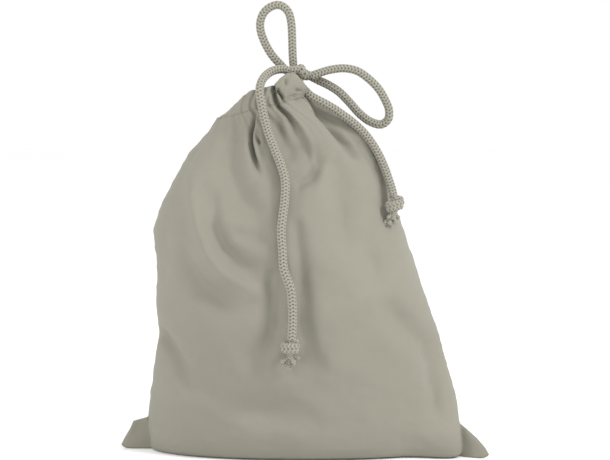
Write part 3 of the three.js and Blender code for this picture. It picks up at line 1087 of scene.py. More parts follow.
CORD_SIDE_TUCK = Fold([
    (-0.044, 0.293, 0.0016, 0.0012), (-0.0425, 0.288, 0.005, 0.0012), (-0.0395, 0.283, 0.003, 0.0016),
])
LEFT_SOFT_PLEAT = Fold([
    (-0.0565, 0.322, 0.0006, 0.003), (-0.059, 0.31, 0.0016, 0.004), (-0.064, 0.29, 0.0034, 0.0066),
    (-0.068, 0.264, 0.0042, 0.0095), (-0.065, 0.24, 0.0034, 0.011), (-0.054, 0.218, 0.0014, 0.012),
], 1.4)

FRONT_FOLDS: Sequence[Fold] = (
    NECK_SLIT,
    TUFT_SLIT,
    CORD_SIDE_PLEAT,
    CORD_SIDE_TUCK,
    LEFT_SOFT_PLEAT,
    Fold([
        (-0.044, 0.3, -0.0012, 0.002), (-0.0448, 0.292, -0.0026, 0.0022),
        (-0.044, 0.281, -0.0024, 0.0026), (-0.04, 0.268, -0.001, 0.004),
    ]),
    Fold([
        (-0.038, 0.32, 0.0016, 0.005), (-0.026, 0.304, 0.004, 0.006), (-0.019, 0.29, 0.0048, 0.0075),
        (-0.015, 0.276, 0.004, 0.0085), (-0.01, 0.262, 0.0016, 0.009),
    ], 1.3),
    Fold([
        (0.003, 0.333, 0.003, 0.005), (0.015, 0.314, 0.0064, 0.0062), (0.027, 0.301, 0.0076, 0.007),
        (0.037, 0.289, 0.007, 0.0076), (0.047, 0.277, 0.0046, 0.008), (0.056, 0.266, 0.0012, 0.01),
    ], 0.8),
    Fold([
        (0.012, 0.323, 0.0016, 0.0026), (0.027, 0.311, 0.0034, 0.0028), (0.04, 0.301, 0.0036, 0.003),
        (0.051, 0.287, 0.0036, 0.003), (0.0595, 0.272, 0.0036, 0.0031), (0.065, 0.258, 0.0038, 0.0032),
        (0.069, 0.244, 0.004, 0.0033), (0.071, 0.232, 0.004, 0.0034), (0.0715, 0.218, 0.0022, 0.0034),
        (0.072, 0.208, 0.0008, 0.0034),
    ], 0.9),
    Fold([(-0.07, 0.306, 0.0006, 0.003), (-0.074, 0.296, 0.0014, 0.004), (-0.08, 0.282, 0.0006, 0.005)]),
    Fold([(-0.095, 0.288, 0.001, 0.004), (-0.103, 0.276, 0.002, 0.0045), (-0.11, 0.262, 0.001, 0.006)]),
    Fold([
        (-0.098, 0.269, -0.001, 0.0085), (-0.099, 0.237, -0.003, 0.008), (-0.094, 0.211, -0.004, 0.0075),
        (-0.085, 0.19, -0.0042, 0.0075), (-0.072, 0.173, -0.004, 0.0075),
        (-0.042, 0.155, -0.0026, 0.0085), (-0.031, 0.146, -0.0008, 0.01),
    ]),
    Fold([
        (-0.085, 0.256, 0.0016, 0.009), (-0.084, 0.216, 0.0036, 0.008), (-0.073, 0.193, 0.0044, 0.008),
        (-0.056, 0.179, 0.0036, 0.0085), (-0.03, 0.168, 0.0014, 0.01),
    ], 1.7),
    Fold([
        (-0.116, 0.2, 0.0024, 0.008), (-0.108, 0.18, 0.0042, 0.008), (-0.091, 0.16, 0.0044, 0.0085),
        (-0.072, 0.149, 0.0032, 0.009), (-0.052, 0.142, 0.0012, 0.011),
    ], 1.4),
    Fold([
        (-0.062, 0.262, 0.0016, 0.011), (-0.054, 0.24, 0.0034, 0.0115), (-0.045, 0.224, 0.0034, 0.011),
        (-0.038, 0.21, 0.002, 0.0095), (-0.03, 0.201, 0.0008, 0.009),
    ]),
    Fold([
        (-0.072, 0.208, 0.0008, 0.007), (-0.056, 0.205, 0.002, 0.0065), (-0.04, 0.204, 0.0022, 0.0065),
        (-0.024, 0.201, 0.001, 0.007),
    ]),
    Fold([(-0.127, 0.218, 0.001, 0.008), (-0.129, 0.188, 0.002, 0.008), (-0.129, 0.15, 0.0014, 0.009)]),
    Fold([
        (-0.14, 0.119, 0.004, 0.006), (-0.131, 0.109, 0.0046, 0.007), (-0.12, 0.096, 0.0042, 0.0085),
        (-0.108, 0.076, 0.003, 0.0105), (-0.096, 0.052, 0.001, 0.013),
    ], 0.7),
    Fold([
        (-0.028, 0.19, 0.0012, 0.007), (-0.0265, 0.16, 0.0032, 0.007), (-0.026, 0.128, 0.0042, 0.0072),
        (-0.03, 0.112, 0.0042, 0.008), (-0.037, 0.099, 0.0034, 0.0095), (-0.056, 0.082, 0.0012, 0.012),
    ], 1.4),
    Fold([
        (-0.01, 0.228, 0.001, 0.008), (-0.0055, 0.199, 0.0024, 0.008), (-0.003, 0.175, 0.0032, 0.0085),
        (-0.0032, 0.149, 0.0038, 0.009), (-0.0028, 0.123, 0.004, 0.0095), (0.002, 0.103, 0.0034, 0.011),
        (0.016, 0.074, 0.001, 0.014),
    ], 0.8),
    Fold([(-0.03, 0.096, 0.0016, 0.009), (-0.012, 0.09, 0.004, 0.0095), (0.006, 0.096, 0.0016, 0.009)]),
    Fold([
        (-0.014, 0.148, 0.0004, 0.0075), (-0.013, 0.128, 0.002, 0.008), (-0.0128, 0.108, 0.0014, 0.008),
    ]),
    Fold([
        (0.01, 0.286, 0.001, 0.006), (0.012, 0.268, 0.003, 0.006), (0.005, 0.256, 0.0034, 0.0058),
        (-0.005, 0.251, 0.0026, 0.006), (-0.014, 0.253, 0.0008, 0.007),
    ], 0.8),
    Fold([
        (0.06, 0.152, 0.0012, 0.011), (0.088, 0.127, 0.004, 0.0105), (0.108, 0.108, 0.0046, 0.0095),
        (0.126, 0.086, 0.002, 0.009),
    ], 1.4),
    Fold([(0.115, 0.108, 0.0018, 0.008), (0.118, 0.072, 0.0044, 0.008), (0.119, 0.034, 0.0022, 0.009)]),
    Fold([
        (0.027, 0.28, 0.0016, 0.012), (0.031, 0.248, 0.004, 0.013), (0.036, 0.218, 0.0038, 0.013),
        (0.044, 0.18, 0.0014, 0.013),
    ], 0.8),
    Fold([(0.052, 0.222, 0.0012, 0.011), (0.062, 0.183, 0.0034, 0.0115), (0.074, 0.148, 0.0014, 0.012)]),
    Fold([
        (-0.106, 0.074, 0.0012, 0.012), (-0.07, 0.054, 0.0028, 0.014), (-0.03, 0.044, 0.0026, 0.015),
        (0.02, 0.036, 0.001, 0.015),
    ], 0.7),
)

BACK_FOLDS: Sequence[Fold] = (
    Fold([
        (-0.054, 0.32, 0.005, 0.004), (-0.058, 0.296, 0.0056, 0.0055), (-0.064, 0.268, 0.004, 0.009),
        (-0.072, 0.236, 0.0014, 0.013),
    ], 0.7),
    Fold([
        (-0.03, 0.33, 0.0058, 0.0036), (-0.028, 0.302, 0.0064, 0.0045), (-0.02, 0.276, 0.0046, 0.008),
        (-0.01, 0.24, 0.0018, 0.012),
    ], 1.4),
    Fold([
        (-0.008, 0.336, 0.004, 0.0036), (0.008, 0.312, 0.005, 0.006), (0.03, 0.286, 0.0044, 0.009),
        (0.054, 0.256, 0.0018, 0.012),
    ]),
    Fold([
        (-0.1, 0.24, 0.0014, 0.01), (-0.092, 0.206, 0.0034, 0.01), (-0.07, 0.18, 0.0034, 0.01),
        (-0.04, 0.166, 0.0014, 0.012),
    ]),
    Fold([
        (0.04, 0.21, 0.0014, 0.01), (0.046, 0.176, 0.0034, 0.0105), (0.062, 0.146, 0.0036, 0.011),
        (0.088, 0.122, 0.0016, 0.012),
    ]),
    Fold([
        (-0.02, 0.19, 0.0012, 0.009), (-0.012, 0.15, 0.003, 0.0095), (-0.018, 0.108, 0.0026, 0.011),
        (-0.034, 0.082, 0.001, 0.012),
    ]),
    Fold([
        (-0.138, 0.116, 0.0042, 0.0075), (-0.12, 0.096, 0.0038, 0.009), (-0.092, 0.082, 0.0014, 0.012),
    ]),
    Fold([(0.118, 0.09, 0.0018, 0.009), (0.104, 0.062, 0.0032, 0.01), (0.074, 0.044, 0.0016, 0.012)]),
    Fold([(-0.09, 0.046, 0.0012, 0.013), (-0.04, 0.04, 0.0026, 0.013), (0.02, 0.046, 0.0014, 0.014)]),
)


@dataclass
class ClothShape:
    """The filled bag's shape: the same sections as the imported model, with the cloth's folds on them."""

    half_width: float = 0.1435
    half_depth: float = 0.077
    neck_height: float = 0.31675
    neck_left: float = -0.080
    neck_right: float = 0.002
    neck_depth: float = 0.026
    neck_rise: float = 0.0215
    ear_length: float = 0.025
    ear_thickness: float = 0.0022
    left_ear_turn: float = 0.001
    right_ear_turn: float = -0.042
    turn_start: float = 0.085
    turn_full: float = 0.1665
    turn_low: float = 0.0145
    turn_high: float = 0.087
    seam_hold: float = 0.07
    unevenness: float = 0.0008
    fine_unevenness: float = 0.00016
    gather_fade: float = 0.022
    front_gather: float = 0.0006
    back_gather: float = 0.0014
    pucker_depth: float = 0.00035
    pucker_fade: float = 38.0
    rows_up: int = 172
    rows_under: int = 14
    columns: int = 236
    arc_points: int = 260
    ear_points: int = 16
    sections: Sequence[Section] = (
        Section(0.0000, 0.985, 0.965, 0.620, 0.0, 1.02, 0.92),
        Section(0.0029, 1.000, 0.990, 0.700, 0.0, 1.12, 1.00),
        Section(0.0104, 1.006, 0.995, 0.760, 0.0, 0.94, 0.80),
        Section(0.0186, 1.010, 0.990, 0.795, 0.0, 0.72, 0.55),
        Section(0.0262, 1.012, 0.985, 0.820, 0.0, 0.58, 0.20),
        Section(0.0300, 1.013, 0.980, 0.825),
        Section(0.0554, 1.003, 0.962, 0.880),
        Section(0.0830, 0.969, 0.906, 0.950),
        Section(0.1107, 0.938, 0.850, 0.990),
        Section(0.1384, 0.960, 0.787, 1.000),
        Section(0.1614, 0.948, 0.732, 0.985),
        Section(0.1845, 0.955, 0.676, 0.950),
        Section(0.2069, 0.969, 0.622, 0.885),
        Section(0.2214, 0.937, 0.582, 0.830),
        Section(0.2482, 0.843, 0.524, 0.690),
        Section(0.2761, 0.739, 0.458, 0.520),
        Section(0.28875, 0.6725, 0.398, 0.465, 0.0065),
        Section(0.29850, 0.6170, 0.305, 0.410, 0.0100),
        Section(0.30795, 0.5870, 0.155, 0.368, 0.0165),
    )

    @property
    def shares(self) -> np.ndarray:
        """Space the columns across the cloth.

        Returns:
            Each column's share of the way across, closest together in the middle.
        """
        fine = np.linspace(0.0, 1.0, 801)
        density = 1.0 + 1.3 * np.exp(-(((fine - 0.5) / 0.25) ** 2))
        count = np.concatenate([[0.0], np.cumsum((density[1:] + density[:-1]) / 2)])
        return np.interp(np.linspace(0.0, 1.0, self.columns), count / count[-1], fine)

    @property
    def heights(self) -> np.ndarray:
        """Space the rows up the bag.

        Returns:
            Each row's height, closest together near the neck.
        """
        fine = np.linspace(0.0, self.neck_height, 801)
        density = 1.0 + 1.4 * smooth_step(fine, 0.235, 0.275) + 0.3 * (fine < 0.03)
        count = np.concatenate([[0.0], np.cumsum((density[1:] + density[:-1]) / 2)])
        return np.interp(np.linspace(0.0, 1.0, self.rows_up), count / count[-1], fine)

    def outline(self, height: np.ndarray) -> dict[str, np.ndarray]:
        """Give the section's reaches at each height.

        Args:
            height: The heights.

        Returns:
            The left and right reach, the half depth, the rise and the two ears' lengths.
        """
        heights = [s.height for s in self.sections] + [self.neck_height]
        dense = np.linspace(0.0, self.neck_height, 616)
        spread = 5
        kernel = np.exp(-0.5 * (np.arange(-3 * spread, 3 * spread + 1) / spread) ** 2)
        kernel /= kernel.sum()
        reaches = {
            "left": [-s.left * self.half_width for s in self.sections] + [self.neck_left],
            "right": [s.right * self.half_width for s in self.sections] + [self.neck_right],
            "depth": [s.depth * self.half_depth for s in self.sections] + [self.neck_depth],
            "rise": [s.rise for s in self.sections] + [self.neck_rise],
        }
        result = {}
        for key, values in reaches.items():
            raw = np.interp(dense, heights, values)
            padded = np.pad(raw, 3 * spread, mode="reflect", reflect_type="odd")
            soft = np.convolve(padded, kernel, mode="valid")
            blend = smooth_step(dense, 0.006, 0.03)
            result[key] = np.interp(height, dense, raw * (1 - blend) + soft * blend)
        for key in ("left_ear", "right_ear"):
            values = [getattr(s, key) * self.ear_length for s in self.sections] + [0.0]
            result[key] = np.interp(height, heights, values)
        return result

    def corner_turn(self, x: np.ndarray, z: np.ndarray) -> np.ndarray:
        """Turn the bottom corners back or forward.

        Args:
            x: The places across the bag.
            z: The places' heights.

        Returns:
            How far each place moves to the back.
        """
        turn = np.where(x < 0, self.left_ear_turn, self.right_ear_turn)
        out = smooth_step(np.abs(x), self.turn_start, self.turn_full)
        return turn * out * (1.0 - smooth_step(z, self.turn_low, self.turn_high))

    def row(self, o: dict[str, float], flat: float, side: Side) -> np.ndarray:
        """Lay one row of points over a half section, evenly along the cloth.

        Args:
            o: The section's reaches.
            flat: How much of the section's depth the row keeps, 0 on the bottom seam.
            side: Which half.

        Returns:
            The points from the left seam to the right one, their heights from the section's own.
        """
        angle = np.linspace(math.pi, 0.0, self.arc_points)
        slant = math.atan2(o["rise"], o["right"] - o["left"])
        half = (o["right"] - o["left"]) / 2 / math.cos(slant)
        middle = (o["right"] + o["left"]) / 2
        x = middle + half * np.cos(angle) * math.cos(slant)
        z = half * np.cos(angle) * math.sin(slant)
        y = o["depth"] * np.sin(angle)
        thin = self.ear_thickness / 2
        if o["left_ear"] > 0 or o["right_ear"] > 0:
            y = np.maximum(y, thin * np.minimum(1.0, o["depth"] / 0.04))
            left = np.linspace(-1.0, 0.0, self.ear_points, endpoint=False)
            right = -left[::-1]
            x = np.concatenate([x[0] + left * o["left_ear"], x, x[-1] + right * o["right_ear"]])
            edge = thin * np.sqrt(np.maximum(0.0, 1.0 - (np.abs(left)) ** 6))
            y = np.concatenate([edge, y, edge[::-1]])
            z = np.pad(z, self.ear_points, mode="edge")
        line = np.column_stack([x, y * flat, z])
        along = arc_lengths(line)
        even = self.shares * along[-1]
        points = np.column_stack([np.interp(even, along, line[:, k]) for k in range(3)])
        return points * [1, side.value, 1]

    def plain(self, side: Side) -> tuple[np.ndarray, np.ndarray]:
        """Lay the smooth half bag from its bottom seam to its neck.

        Args:
            side: Which half.

        Returns:
            A grid of points, and each row's height.
        """
        rows, levels = [], []
        base = {k: float(v[0]) for k, v in self.outline(np.array([0.0])).items()}
        for keep in np.linspace(0.0, 1.0, self.rows_under, endpoint=False):
            rows.append(self.row(base, keep, side))
            levels.append(0.0)
        table = self.outline(self.heights)
        for i, height in enumerate(self.heights):
            here = {k: float(v[i]) for k, v in table.items()}
            rows.append(self.row(here, 1.0, side) + [0.0, 0.0, height])
            levels.append(height)
        grid = np.array(rows)
        grid[..., 1] += self.corner_turn(grid[..., 0], grid[..., 2])
        return grid, np.array(levels)

    def normals(self, grid: np.ndarray, side: Side) -> np.ndarray:
        """Find the outward directions of the cloth.

        Args:
            grid: The cloth's points.
            side: Which half it is.

        Returns:
            One unit vector for each point.
        """
        across = np.gradient(grid, axis=1)
        up = np.gradient(grid, axis=0)
        return unit(np.cross(across, up) * (-side.value))

    def fold_moves(self, side: Side, x: np.ndarray, z: np.ndarray) -> np.ndarray:
        """Work out how the folds move rows of cloth, weakest at the seams.

        Args:
            side: Which half it is.
            x: The points' places across the bag.
            z: The points' heights.

        Returns:
            How far each point goes in, to the side and up, in the last axis.
        """
        from_seam = np.minimum(self.shares, 1.0 - self.shares)
        moved = pressed(FRONT_FOLDS if side is Side.FRONT else BACK_FOLDS, x, z)
        return moved * (0.12 + 0.88 * smooth_step(from_seam, 0.0, self.seam_hold))[None, :, None]

    def folded(self, side: Side) -> np.ndarray:
        """Press the folds, the gathers and the seam's puckers into the half bag.

        Args:
            side: Which half.

        Returns:
            A grid of points.
        """
        grid, levels = self.plain(side)
        out = self.normals(grid, side)
        x, z = grid[..., 0], grid[..., 2]
        share = self.shares[None, :]
        up = levels[:, None]
        from_seam = np.minimum(share, 1.0 - share)
        moved = self.fold_moves(side, x, z)
        depth = moved[..., 0]
        soft = noise_field(5 + side.value, 14, 0.030, 0.090)
        fine = noise_field(17 + side.value, 18, 0.010, 0.026)
        lively = smooth_step(up, 0.0, 0.02)
        depth -= soft(x, z) * self.unevenness * lively + fine(x, z) * self.fine_unevenness * lively
        near_neck = np.exp(-np.maximum(0.0, self.neck_height - up) / self.gather_fade)
        gather = self.front_gather if side is Side.FRONT else self.back_gather
        depth -= self.gathers(share, side) * near_neck * gather
        edge = np.exp(-from_seam * self.pucker_fade)
        pucker = noise_field(29, 8, 0.008, 0.030)
        pull = pucker(z, 0.3 * x)
        depth += edge * lively * self.pucker_depth * pull * smooth_step(up, 0.03, 0.06)
        still = smooth_step(from_seam, 0.0, 0.02)
        out = out * np.stack([np.ones_like(still), still, still], axis=-1)
        grid = grid - out * depth[..., None]
        grid[..., 0] += moved[..., 1]
        grid[..., 2] += moved[..., 2]
        grid[..., 2] = np.maximum(grid[..., 2], 0.0003)
        return grid

    def gathers(self, share: np.ndarray, side: Side) -> np.ndarray:
        """Ripple the cloth that the cord draws together.

        Args:
            share: The places' shares of the way across the cloth.
            side: Which half it is.

        Returns:
            How high the ripple stands, around -1.6 to 1.6.
        """
        q = share if side is Side.FRONT else 2.0 - share
        ripple = np.cos(math.tau * (11.0 * q + 0.35 * np.sin(math.tau * q * 2.0 + 0.7)))
        return ripple + 0.6 * np.cos(math.tau * (19.0 * q + 0.3 * np.sin(math.tau * q * 3.0)) + 1.1)


@dataclass
class BagCloth:
    """The two panels with their hems, stitching and inside seams."""

    shape: ClothShape = field(default_factory=ClothShape)
    flat_width: float = 0.340
    flat_length: float = 0.395
    cloth_thickness: float = 0.0005
    hem_rows: int = 46
    hem_bulge: float = 0.0030
    hem_room: float = 0.0098
    stitch_length: float = 0.0026
    stitch_radius: float = 0.00018
    stitch_share: float = 0.36
    seam_width: float = 0.009
    seam_start: float = 0.034
    seam_gap: float = 0.0008
    seam_wave: float = 0.0005
    rim_centre: float = -0.0345
    rim_half_width: float = 0.0375
    rim_half_depth: float = 0.0215
    front_ripple: float = 0.25
    back_rim_ripple: float = 1.1
    back_wall_ripple: float = 1.2
    neck_centre: float = -0.037
    leaving_pull: float = 1.15
    arriving_pull: float = 0.6
    inner_gap: float = 0.0012
    outer_share: float = 0.42
    cord_stops: int = 12
    hidden_radius_share: float = 0.60
    top_edge: Sequence[tuple[float, float]] = (
        (-0.080, 0.300), (-0.073, 0.3095), (-0.067, 0.3165), (-0.062, 0.3215), (-0.056, 0.3270),
        (-0.052, 0.3305), (-0.046, 0.3330), (-0.037, 0.3355), (-0.030, 0.3360), (-0.027, 0.3385),
        (-0.023, 0.3430), (-0.017, 0.3475), (-0.010, 0.3485), (-0.005, 0.3435), (0.001, 0.3360),
        (0.004, 0.3320),
    )
    back_top_edge: Sequence[tuple[float, float]] = ((-0.080, 0.300), (-0.045, 0.331), (0.004, 0.334))
    grids: dict[Side, np.ndarray] = field(default_factory=dict)
    channels: dict[Side, np.ndarray] = field(default_factory=dict)

    def join_edges(self) -> None:
        """Bring both panels' edges to one seam line, easing the cloth beside it."""
        front, back = self.grids[Side.FRONT], self.grids[Side.BACK]
        reach = 6
        for at, order in ((0, 1), (-1, -1)):
            middle = (front[:, at] + back[:, at]) / 2
            for grid in (front, back):
                move = middle - grid[:, at]
                for k in range(reach):
                    column = at + order * k
                    grid[:, column] += move * (1.0 - k / reach) ** 2

    def panel(self, side: Side, cotton: bpy.types.Material) -> bpy.types.Object:
        """Make one panel with its half of the bottom.

        Args:
            side: Which half.
            cotton: The cloth.

        Returns:
            The panel.
        """
        grid = self.grids[side]
        rows, columns, _ = grid.shape
        along = np.cumsum(
            np.concatenate([[0.0], np.linalg.norm(np.diff(grid, axis=0), axis=2).mean(axis=1)])
        )
        u = self.shape.shares[None, :] * self.flat_width * np.ones((rows, 1))
        v = along[:, None] * np.ones((1, columns))
        cloth = np.stack([u, v, np.zeros_like(u)], axis=-1).reshape(-1, 3)
        faces = grid_faces(rows, columns)
        if side is Side.BACK:
            faces = [tuple(reversed(f)) for f in faces]
        name = "front_cloth" if side is Side.FRONT else "back_cloth"
        piece = mesh_piece(name, grid.reshape(-1, 3), faces, cotton, {"cloth": cloth})
        shell = piece.modifiers.new("thickness", "SOLIDIFY")
        shell.thickness = self.cloth_thickness
        shell.offset = -1.0
        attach(piece, "bag")
        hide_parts("front_panel" if side is Side.FRONT else "back_panel")
        return piece

    def top_ring(self, side: Side) -> np.ndarray:
        """Place the hem's top edge above the neck.

        Args:
            side: Which half.

        Returns:
            One point for each column of the panel.
        """
        share = self.shape.shares
        angle = math.pi * (1.0 - share)
        x = self.rim_centre + self.rim_half_width * np.cos(angle)
        square = 1.0 - 0.68 * smooth_step(x, -0.030, -0.006) * (side is Side.FRONT)
        y = side.value * self.rim_half_depth * np.sin(angle) ** square
        table = np.array(self.top_edge if side is Side.FRONT else self.back_top_edge)
        z = np.interp(x, table[:, 0], table[:, 1])
        ripple = self.shape.gathers(share, side)
        lively = self.front_ripple if side is Side.FRONT else self.back_rim_ripple
        y = y + side.value * 0.0010 * lively * ripple * np.sin(angle)
        x = x + 0.0008 * lively * ripple * np.cos(angle)
        here_and_there = 0.5 + 0.5 * np.cos(math.tau * 2.3 * share)
        z = z + 0.0005 * np.cos(math.tau * 13.0 * share + 0.8) * here_and_there
        return np.column_stack([x, y, z])

    def hem_walls(self, side: Side) -> np.ndarray:
        """Fold the panel's top over into the channel that the cord runs in.

        Args:
            side: Which half.

        Returns:
            The hem's points: up its outer wall and down its inner one, for each column.
        """
        plain = self.shape.plain(side)[0]
        foot = plain[-1]
        top = self.top_ring(side)
        share = self.shape.shares
        size = np.linalg.norm(top - foot, axis=1)[:, None]
        leaving = unit(foot - plain[-8]) * size * self.leaving_pull
        arriving = unit(top - foot) * size * self.arriving_pull
        centre = np.array([self.neck_centre, 0.0, 0.0])
        out = unit((foot - centre) * [0.35, 1.0, 0.0])
        ripple = self.shape.gathers(share, side)
        front = side is Side.FRONT
        tuft = np.full(len(foot), 0.2)
        if front:
            edge = 1.0 - 0.8 * smooth_step(foot[:, 0], -0.006, 0.002)
            tuft = smooth_step(foot[:, 0], -0.030, -0.016) * edge
        lively = self.front_ripple if front else self.back_wall_ripple
        ways = np.linspace(0.0, 1.0, self.hem_rows // 2)
        inner = np.linspace(1.0, 0.0, self.hem_rows - len(ways))
        loop = []
        for v in ways:
            swell = self.hem_bulge * tuft * math.sin(math.pi * v) + ripple * 0.0009 * lively * v
            wall = (2 * v**3 - 3 * v**2 + 1) * foot + (v**3 - 2 * v**2 + v) * leaving
            wall = wall + (3 * v**2 - 2 * v**3) * top + (v**3 - v**2) * arriving
            loop.append(wall + out * swell[:, None])
        for v, row in zip(inner, np.interp(inner, ways, np.arange(len(ways)))):
            near = loop[int(row)]
            room = self.inner_gap + self.hem_room * math.sin(math.pi * v) ** 0.9 * 0.62
            lift = np.array([0.0, 0.0, -0.0006 if v == 1.0 else 0.0])
            loop.append(near - out * room + lift)
        grid = np.array(loop)
        moved = self.shape.fold_moves(side, grid[..., 0], grid[..., 2])
        if front:
            moved = moved + pressed(TUFT_DIMPLES, grid[..., 0], grid[..., 2])
        sideways = np.stack([moved[0, :, 1], 0 * share, moved[0, :, 2]], axis=-1)
        folded_foot = foot - out * moved[0, :, :1] + sideways
        left_over = self.grids[side][-1] - folded_foot
        fade = (1.0 - np.concatenate([ways, inner])) ** 2
        grid = grid - out[None] * moved[..., :1] + left_over[None] * fade[:, None, None]
        grid[..., 0] += moved[..., 1]
        grid[..., 2] += moved[..., 2]
        low, high = int(len(ways) * 0.45), len(ways) + int(len(inner) * 0.55)
        self.channels[side] = grid[low] * self.outer_share + grid[high] * (1.0 - self.outer_share)
        return grid

    def hem(self, side: Side, cotton: bpy.types.Material) -> bpy.types.Object:
        """Make one hem from its walls.

        Args:
            side: Which half.
            cotton: The cloth.

        Returns:
            The hem.
        """
        grid = self.hem_walls(side)
        front = side is Side.FRONT
        rows, columns, _ = grid.shape
        points = grid.transpose(1, 0, 2).reshape(-1, 3)
        faces = grid_faces(columns, rows, around=True)
        faces.append(tuple(range(rows)))
        faces.append(tuple((columns - 1) * rows + k for k in reversed(range(rows))))
        if front:
            faces = [tuple(reversed(f)) for f in faces]
        u = np.repeat(self.shape.shares * self.flat_width, rows)
        v = np.tile(arc_lengths(grid[:, columns // 2]), columns)
        cloth = np.column_stack([u, v, np.zeros_like(u)])
        name = "front_hem_cloth" if front else "back_hem_cloth"
        piece = mesh_piece(name, points, faces, cotton, {"cloth": cloth})
        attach(piece, "bag")
        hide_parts("front_hem" if front else "back_hem")
        return piece

    def stitches(
        self,
        name: str,
        line: np.ndarray,
        out: np.ndarray,
        nodes: Sequence[str],
        thread: bpy.types.Material,
    ) -> bpy.types.Object:
        """Sew a row of short stitches along a line.

        Args:
            name: The piece's name.
            line: The line on the cloth.
            out: The direction off the cloth at each of its points.
            nodes: The nodes that the piece stands for.
            thread: The thread's material.

        Returns:
            The row of stitches.
        """
        along = arc_lengths(line)
        count = max(3, int(along[-1] / self.stitch_length))
        rings, around = 7, 8
        points, faces = [], []
        for i in range(count):
            mid = (i + 0.5) / count * along[-1]
            half = self.stitch_length * self.stitch_share
            s = np.linspace(mid - half, mid + half, rings)
            core = np.column_stack([np.interp(s, along, line[:, k]) for k in range(3)])
            away = unit(np.column_stack([np.interp(s, along, out[:, k]) for k in range(3)]))
            lift = np.sqrt(np.maximum(0.0, 1.0 - ((s - mid) / half) ** 2))[:, None]
            core = core + away * self.stitch_radius * (0.9 * lift - 0.2)
            tangent = unit(np.gradient(core, axis=0))
            over = unit(np.cross(tangent, away))
            width = self.stitch_radius * (0.35 + 0.65 * lift)
            start = len(points)
            for c, a, o, w in zip(core, away, over, width):
                for turn in np.linspace(0.0, math.tau, around, endpoint=False):
                    points.append(c + (a * math.cos(turn) + o * math.sin(turn)) * w)
            faces.extend(grid_faces(rings, around, start, around=True))
            faces.append(tuple(start + k for k in reversed(range(around))))
            faces.append(tuple(start + (rings - 1) * around + k for k in range(around)))
        piece = mesh_piece(name, np.array(points), faces, thread)
        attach(piece, "bag")
        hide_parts(*nodes)
        return piece

    def hem_stitching(self, side: Side, thread: bpy.types.Material) -> bpy.types.Object:
        """Sew the hem down along its foot.

        Args:
            side: Which half it is.
            thread: The sewing thread.

        Returns:
            The row of stitches.
        """
        grid = self.grids[side]
        line = grid[-1] + (grid[-1] - grid[-2]) * 0.8
        out = self.shape.normals(grid, side)[-1]
        name = "front_stitching" if side is Side.FRONT else "back_stitching"
        node = "front_hem_stitching" if side is Side.FRONT else "back_hem_stitching"
        return self.stitches(name, line + out * 0.0002, out, [node], thread)

    def allowance(
        self,
        name: str,
        node: str,
        edge: np.ndarray,
        inward: Point,
        cotton: bpy.types.Material,
    ) -> None:
        """Stand the seam allowance up inside the bag along one seam.

        Args:
            name: The piece's name.
            node: The node that it stands for.
            edge: The seam's line.
            inward: The direction into the bag.
            cotton: The cloth.
        """
        along = arc_lengths(edge)
        into = np.tile(np.array(inward), (len(edge), 1))
        steps = np.linspace(0.0, 1.0, 7)
        wave = self.seam_wave * np.sin(along / 0.004)[:, None, None] * steps[None, :, None]
        sideways = unit(np.cross(np.gradient(edge, axis=0), into))
        strip = edge[:, None] + into[:, None] * (steps[None, :, None] * self.seam_width + self.seam_gap)
        strip = strip + sideways[:, None] * wave
        rows, columns, _ = strip.shape
        cloth = np.zeros((rows * columns, 3))
        cloth[:, 0] = np.tile(steps * self.seam_width, rows)
        cloth[:, 1] = np.repeat(along, columns)
        piece = mesh_piece(name, strip.reshape(-1, 3), grid_faces(rows, columns), cotton, {"cloth": cloth})
        shell = piece.modifiers.new("thickness", "SOLIDIFY")
        shell.thickness = 2 * self.cloth_thickness
        shell.offset = 0.0
        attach(piece, "bag")
        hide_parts(node)

    def seams(self, cotton: bpy.types.Material) -> None:
        """Sew the two side seams and the bottom seam, inside.

        Args:
            cotton: The cloth.
        """
        grid = self.grids[Side.FRONT]
        first = self.shape.rows_under + int(np.searchsorted(self.shape.heights, self.seam_start))
        for name, node, column, way in (
            ("left_seam_allowance", "left_side_seam", 0, 1.0),
            ("right_seam_allowance", "right_side_seam", -1, -1.0),
        ):
            edge = (grid[first:-2, column] + self.grids[Side.BACK][first:-2, column]) / 2
            self.allowance(name, node, edge, (way, 0.0, 0.0), cotton)
        edge = (grid[0, 6:-6] + self.grids[Side.BACK][0, 6:-6]) / 2
        self.allowance("bottom_seam_allowance", "bottom_seam", edge, (0.0, 0.0, 1.0), cotton)

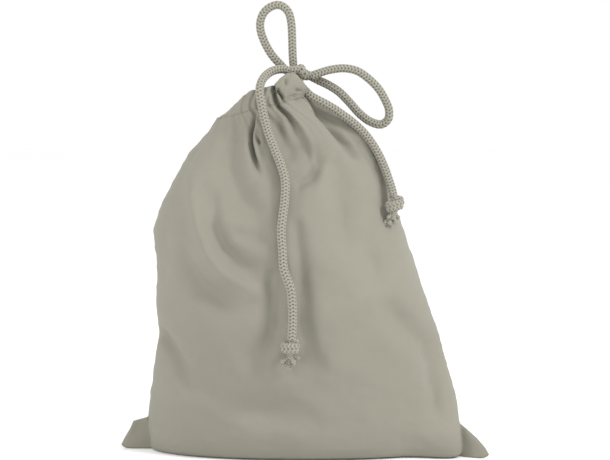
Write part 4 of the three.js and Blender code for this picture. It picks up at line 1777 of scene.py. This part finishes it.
    def casing_cord(self, knit: Knit, yarn: bpy.types.Material) -> bpy.types.Object:
        """Run the cord through both hems.

        Args:
            knit: How the cord is knitted.
            yarn: Its material.

        Returns:
            The hidden length of the cord.
        """
        route = []
        for side, order in ((Side.FRONT, 1), (Side.BACK, -1)):
            middle = self.channels[side]
            keep = np.linspace(14, len(middle) - 26, self.cord_stops).astype(int)
            easy = np.array([middle[k - 6:k + 7].mean(axis=0) for k in keep])
            route.extend((easy[::-1] if order == 1 else easy).tolist())
        line = smooth_route([tuple(p) for p in route], knit.step)
        radii = np.full(len(line), knit.radius * self.hidden_radius_share)
        piece = knit.piece("hidden_cord", [line], yarn, [(0.0, 0.0, 1.0)], [radii])
        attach(piece, "bag")
        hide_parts("casing_cord")
        return piece

    def build(
        self,
        knit: Knit,
        cotton: bpy.types.Material,
        yarn: bpy.types.Material,
        thread: bpy.types.Material,
    ) -> None:
        """Sew the whole bag.

        Args:
            knit: How the cord is knitted.
            cotton: The cloth.
            yarn: The cord's material.
            thread: The sewing thread.
        """
        self.grids = {side: self.shape.folded(side) for side in Side}
        self.join_edges()
        panels = {side: self.panel(side, cotton) for side in Side}
        hems = {side: self.hem(side, cotton) for side in Side}
        rows = {side: self.hem_stitching(side, thread) for side in Side}
        self.seams(cotton)
        hidden = self.casing_cord(knit, yarn)
        grid = self.grids[Side.FRONT]
        low, high = grid[-6, -1], grid[-1, -1]
        tack = np.linspace(0.0, 1.0, 12)[:, None] * (high - low) + low
        out = np.tile(np.array([1.0, 0.0, 0.0]), (12, 1))
        self.stitches("exit_stitches", tack, out, ["exit_bartack"], thread)
        for side in Side:
            LOG.info("%s: sewn", panels[side].name)


# ---------------------------------------------------------------- everything


def main() -> None:
    """Build the studio, the cord and the bag, and report each."""
    logging.basicConfig(level=logging.INFO, format="%(name)s: %(message)s")
    studio = Studio()
    studio.camera()
    studio.light()
    studio.floor()
    LOG.info("studio: camera, lamps and floor")
    cotton = WovenCotton().material()
    yarn = KnittedYarn().material()
    thread = SewingThread().material()
    drawstring = Drawstring()
    drawstring.build(yarn)
    LOG.info("drawstring: bow, loops, tails and knots")
    BagCloth().build(drawstring.knit, cotton, yarn, thread)
    LOG.info("bag: panels, hems, stitching and seams")


if __name__ == "__main__":
    main()
